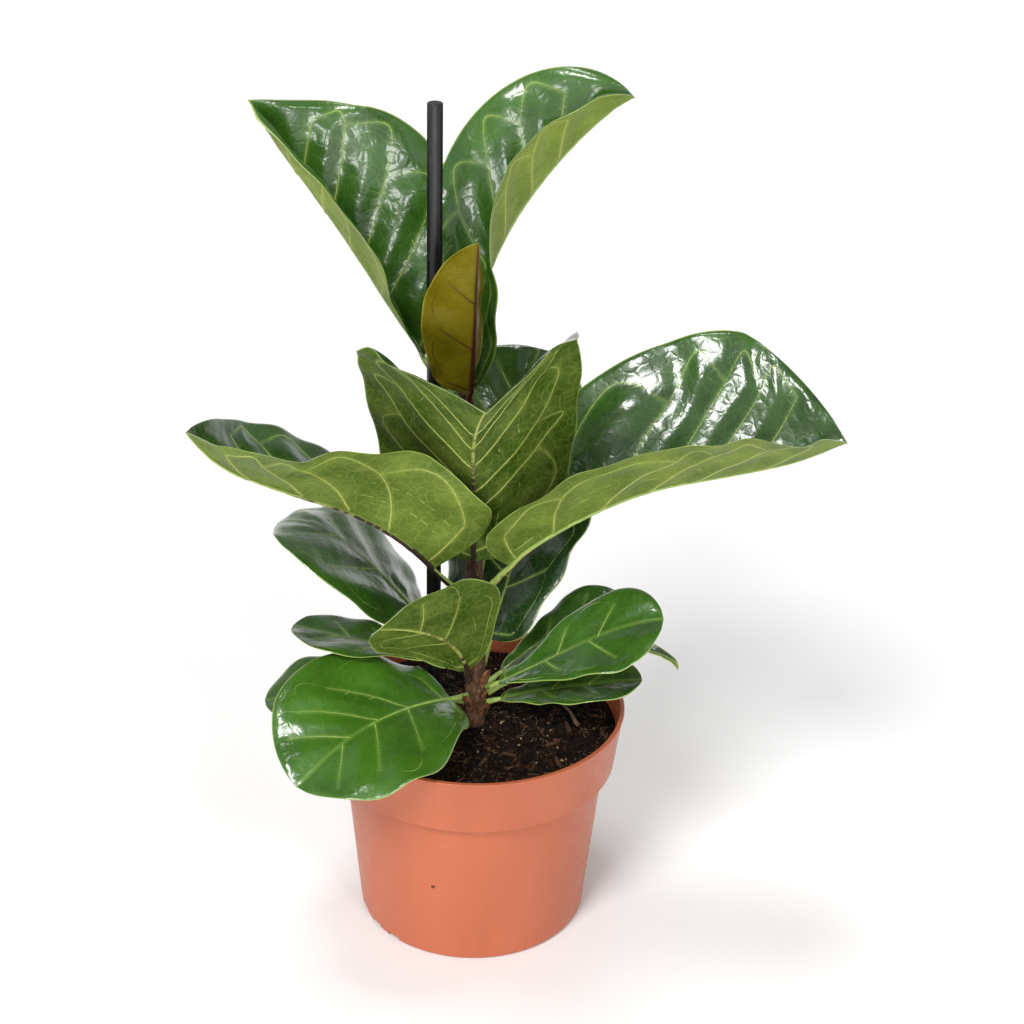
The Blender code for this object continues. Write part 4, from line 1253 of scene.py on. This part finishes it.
def add_light(name, kind, energy, towards, **values):
    """A lamp that shines from the given direction."""
    light = bpy.data.lights.new(name, kind)
    light.energy = energy
    for key, value in values.items():
        setattr(light, key, value)
    lamp = bpy.data.objects.new(name, light)
    bpy.context.scene.collection.objects.link(lamp)
    lamp.rotation_euler = Vector(towards).to_track_quat("Z", "Y").to_euler()
    return lamp


def build_stage():
    stage = settings("stage")
    bpy.ops.mesh.primitive_plane_add(size=FLOOR_SIZE, location=(0, 0, 0))
    floor = bpy.context.object
    floor.name = "studio_floor"
    material, tree = new_material("painted_studio_floor")
    spot = add_node(tree, "ShaderNodeTexCoord").outputs["Object"]
    cloud = add_node(tree, "ShaderNodeTexNoise", {"Vector": spot, "Scale": 3.0})
    mixed = add_node(tree, "ShaderNodeMix", {"Factor": cloud, "A": stage.floor, "B": stage.floor_dull},
                     data_type="RGBA")
    floor.data.materials.append(close_material(material, tree, {"Base Color": mixed,
                                                                "Roughness": 0.9}))

    world = bpy.data.worlds.new("studio")
    world.use_nodes = True
    # a white cyclorama round the horizon, darker overhead so that dark leaves keep their depth
    sky = world.node_tree
    sky.nodes.clear()
    spot = add_node(sky, "ShaderNodeTexCoord").outputs["Generated"]
    rise = add_node(sky, "ShaderNodeSeparateXYZ", {"Vector": spot}).outputs["Z"]
    glow = add_node(sky, "ShaderNodeMapRange", {
        "Value": rise, "From Min": DOME_RISE[0], "From Max": DOME_RISE[1],
        "To Min": DOME_GLOW[0], "To Max": DOME_GLOW[1],
    })
    dome = add_node(sky, "ShaderNodeBackground", {"Color": (1, 1, 1, 1), "Strength": glow})
    add_node(sky, "ShaderNodeOutputWorld", {"Surface": dome})
    bpy.context.scene.world = world
    bpy.context.scene.view_settings.view_transform = "Standard"

    for name, (towards, strength, spread) in SUNS.items():
        add_light(name, "SUN", strength, towards, angle=math.radians(spread))
    for name, (spot, size, power) in SOFTBOXES.items():
        lamp = add_light(name, "AREA", power, Vector(spot) - SOFTBOX_AIM, size=size)
        lamp.location = spot
        lamp.visible_camera = False

    back = Vector((0, -math.cos(stage.elevation), math.sin(stage.elevation)))
    level, rise = Vector((1, 0, 0)), Vector((0, math.sin(stage.elevation), math.cos(stage.elevation)))
    right = math.cos(stage.roll) * level + math.sin(stage.roll) * rise
    data = bpy.data.cameras.new("camera")
    data.sensor_width = SENSOR_WIDTH
    data.lens = stage.lens
    camera = bpy.data.objects.new("camera", data)
    bpy.context.scene.collection.objects.link(camera)
    camera.location = Vector(CAMERA_AIM) + stage.distance * back
    from_axes = np.array([right, back.cross(right), back]).T
    camera.rotation_mode = "QUATERNION"
    camera.rotation_quaternion = Matrix(from_axes.tolist()).to_quaternion()
    bpy.context.scene.camera = camera


# Operators and panel -----------------------------------------------------------------------------

class FIG_OT_pot(bpy.types.Operator):
    """Build the moulded grow pot"""
    bl_idname = "fig.pot"
    bl_label = "Grow Pot"
    bl_options = {"REGISTER", "UNDO"}

    def execute(self, context):
        build_pot()
        return {"FINISHED"}


class FIG_OT_soil(bpy.types.Operator):
    """Build the compost with its crumbs and fibres"""
    bl_idname = "fig.soil"
    bl_label = "Compost"
    bl_options = {"REGISTER", "UNDO"}

    def execute(self, context):
        build_soil()
        return {"FINISHED"}


class FIG_OT_stem(bpy.types.Operator):
    """Build the stem and the scales round it"""
    bl_idname = "fig.stem"
    bl_label = "Stem"
    bl_options = {"REGISTER", "UNDO"}

    def execute(self, context):
        build_stem()
        return {"FINISHED"}


class FIG_OT_stake(bpy.types.Operator):
    """Build the support stake"""
    bl_idname = "fig.stake"
    bl_label = "Support Stake"
    bl_options = {"REGISTER", "UNDO"}

    def execute(self, context):
        build_stake()
        return {"FINISHED"}


class FIG_OT_leaves(bpy.types.Operator):
    """Build the leaves"""
    bl_idname = "fig.leaves"
    bl_label = "Leaves"
    bl_options = {"REGISTER", "UNDO"}

    def execute(self, context):
        build_leaves()
        return {"FINISHED"}


class FIG_OT_sheaths(bpy.types.Operator):
    """Build the bud sheath and the stipules"""
    bl_idname = "fig.sheaths"
    bl_label = "Sheaths"
    bl_options = {"REGISTER", "UNDO"}

    def execute(self, context):
        build_sheaths()
        return {"FINISHED"}


class FIG_OT_stage(bpy.types.Operator):
    """Build the floor, lights and camera"""
    bl_idname = "fig.stage"
    bl_label = "Studio Stage"
    bl_options = {"REGISTER", "UNDO"}

    def execute(self, context):
        build_stage()
        return {"FINISHED"}


OPERATORS = (FIG_OT_pot, FIG_OT_soil, FIG_OT_stem, FIG_OT_stake, FIG_OT_leaves, FIG_OT_sheaths,
             FIG_OT_stage)
GROUPS = {"pot": FigPotSettings, "soil": FigSoilSettings, "stem": FigStemSettings,
          "stake": FigStakeSettings, "leaf": FigLeafSettings, "stage": FigStageSettings}


class FIG_PT_panel(bpy.types.Panel):
    """Lists the operators that build the plant"""
    bl_label = "Fiddle Leaf Fig"
    bl_idname = "FIG_PT_panel"
    bl_space_type = "VIEW_3D"
    bl_region_type = "UI"
    bl_category = "Fig"

    def draw(self, context):
        for operator in OPERATORS:
            self.layout.operator(operator.bl_idname)


def register():
    for name, group in GROUPS.items():
        bpy.utils.register_class(group)
        setattr(bpy.types.Scene, "fig_" + name, PointerProperty(type=group))
    for operator in OPERATORS:
        bpy.utils.register_class(operator)
    bpy.utils.register_class(FIG_PT_panel)


def unregister():
    bpy.utils.unregister_class(FIG_PT_panel)
    for operator in reversed(OPERATORS):
        bpy.utils.unregister_class(operator)
    for name, group in GROUPS.items():
        delattr(bpy.types.Scene, "fig_" + name)
        bpy.utils.unregister_class(group)


def main():
    register()
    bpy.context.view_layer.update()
    for operator in OPERATORS:
        getattr(bpy.ops.fig, operator.bl_idname.split(".")[1])()


if __name__ == "__main__":
    main()
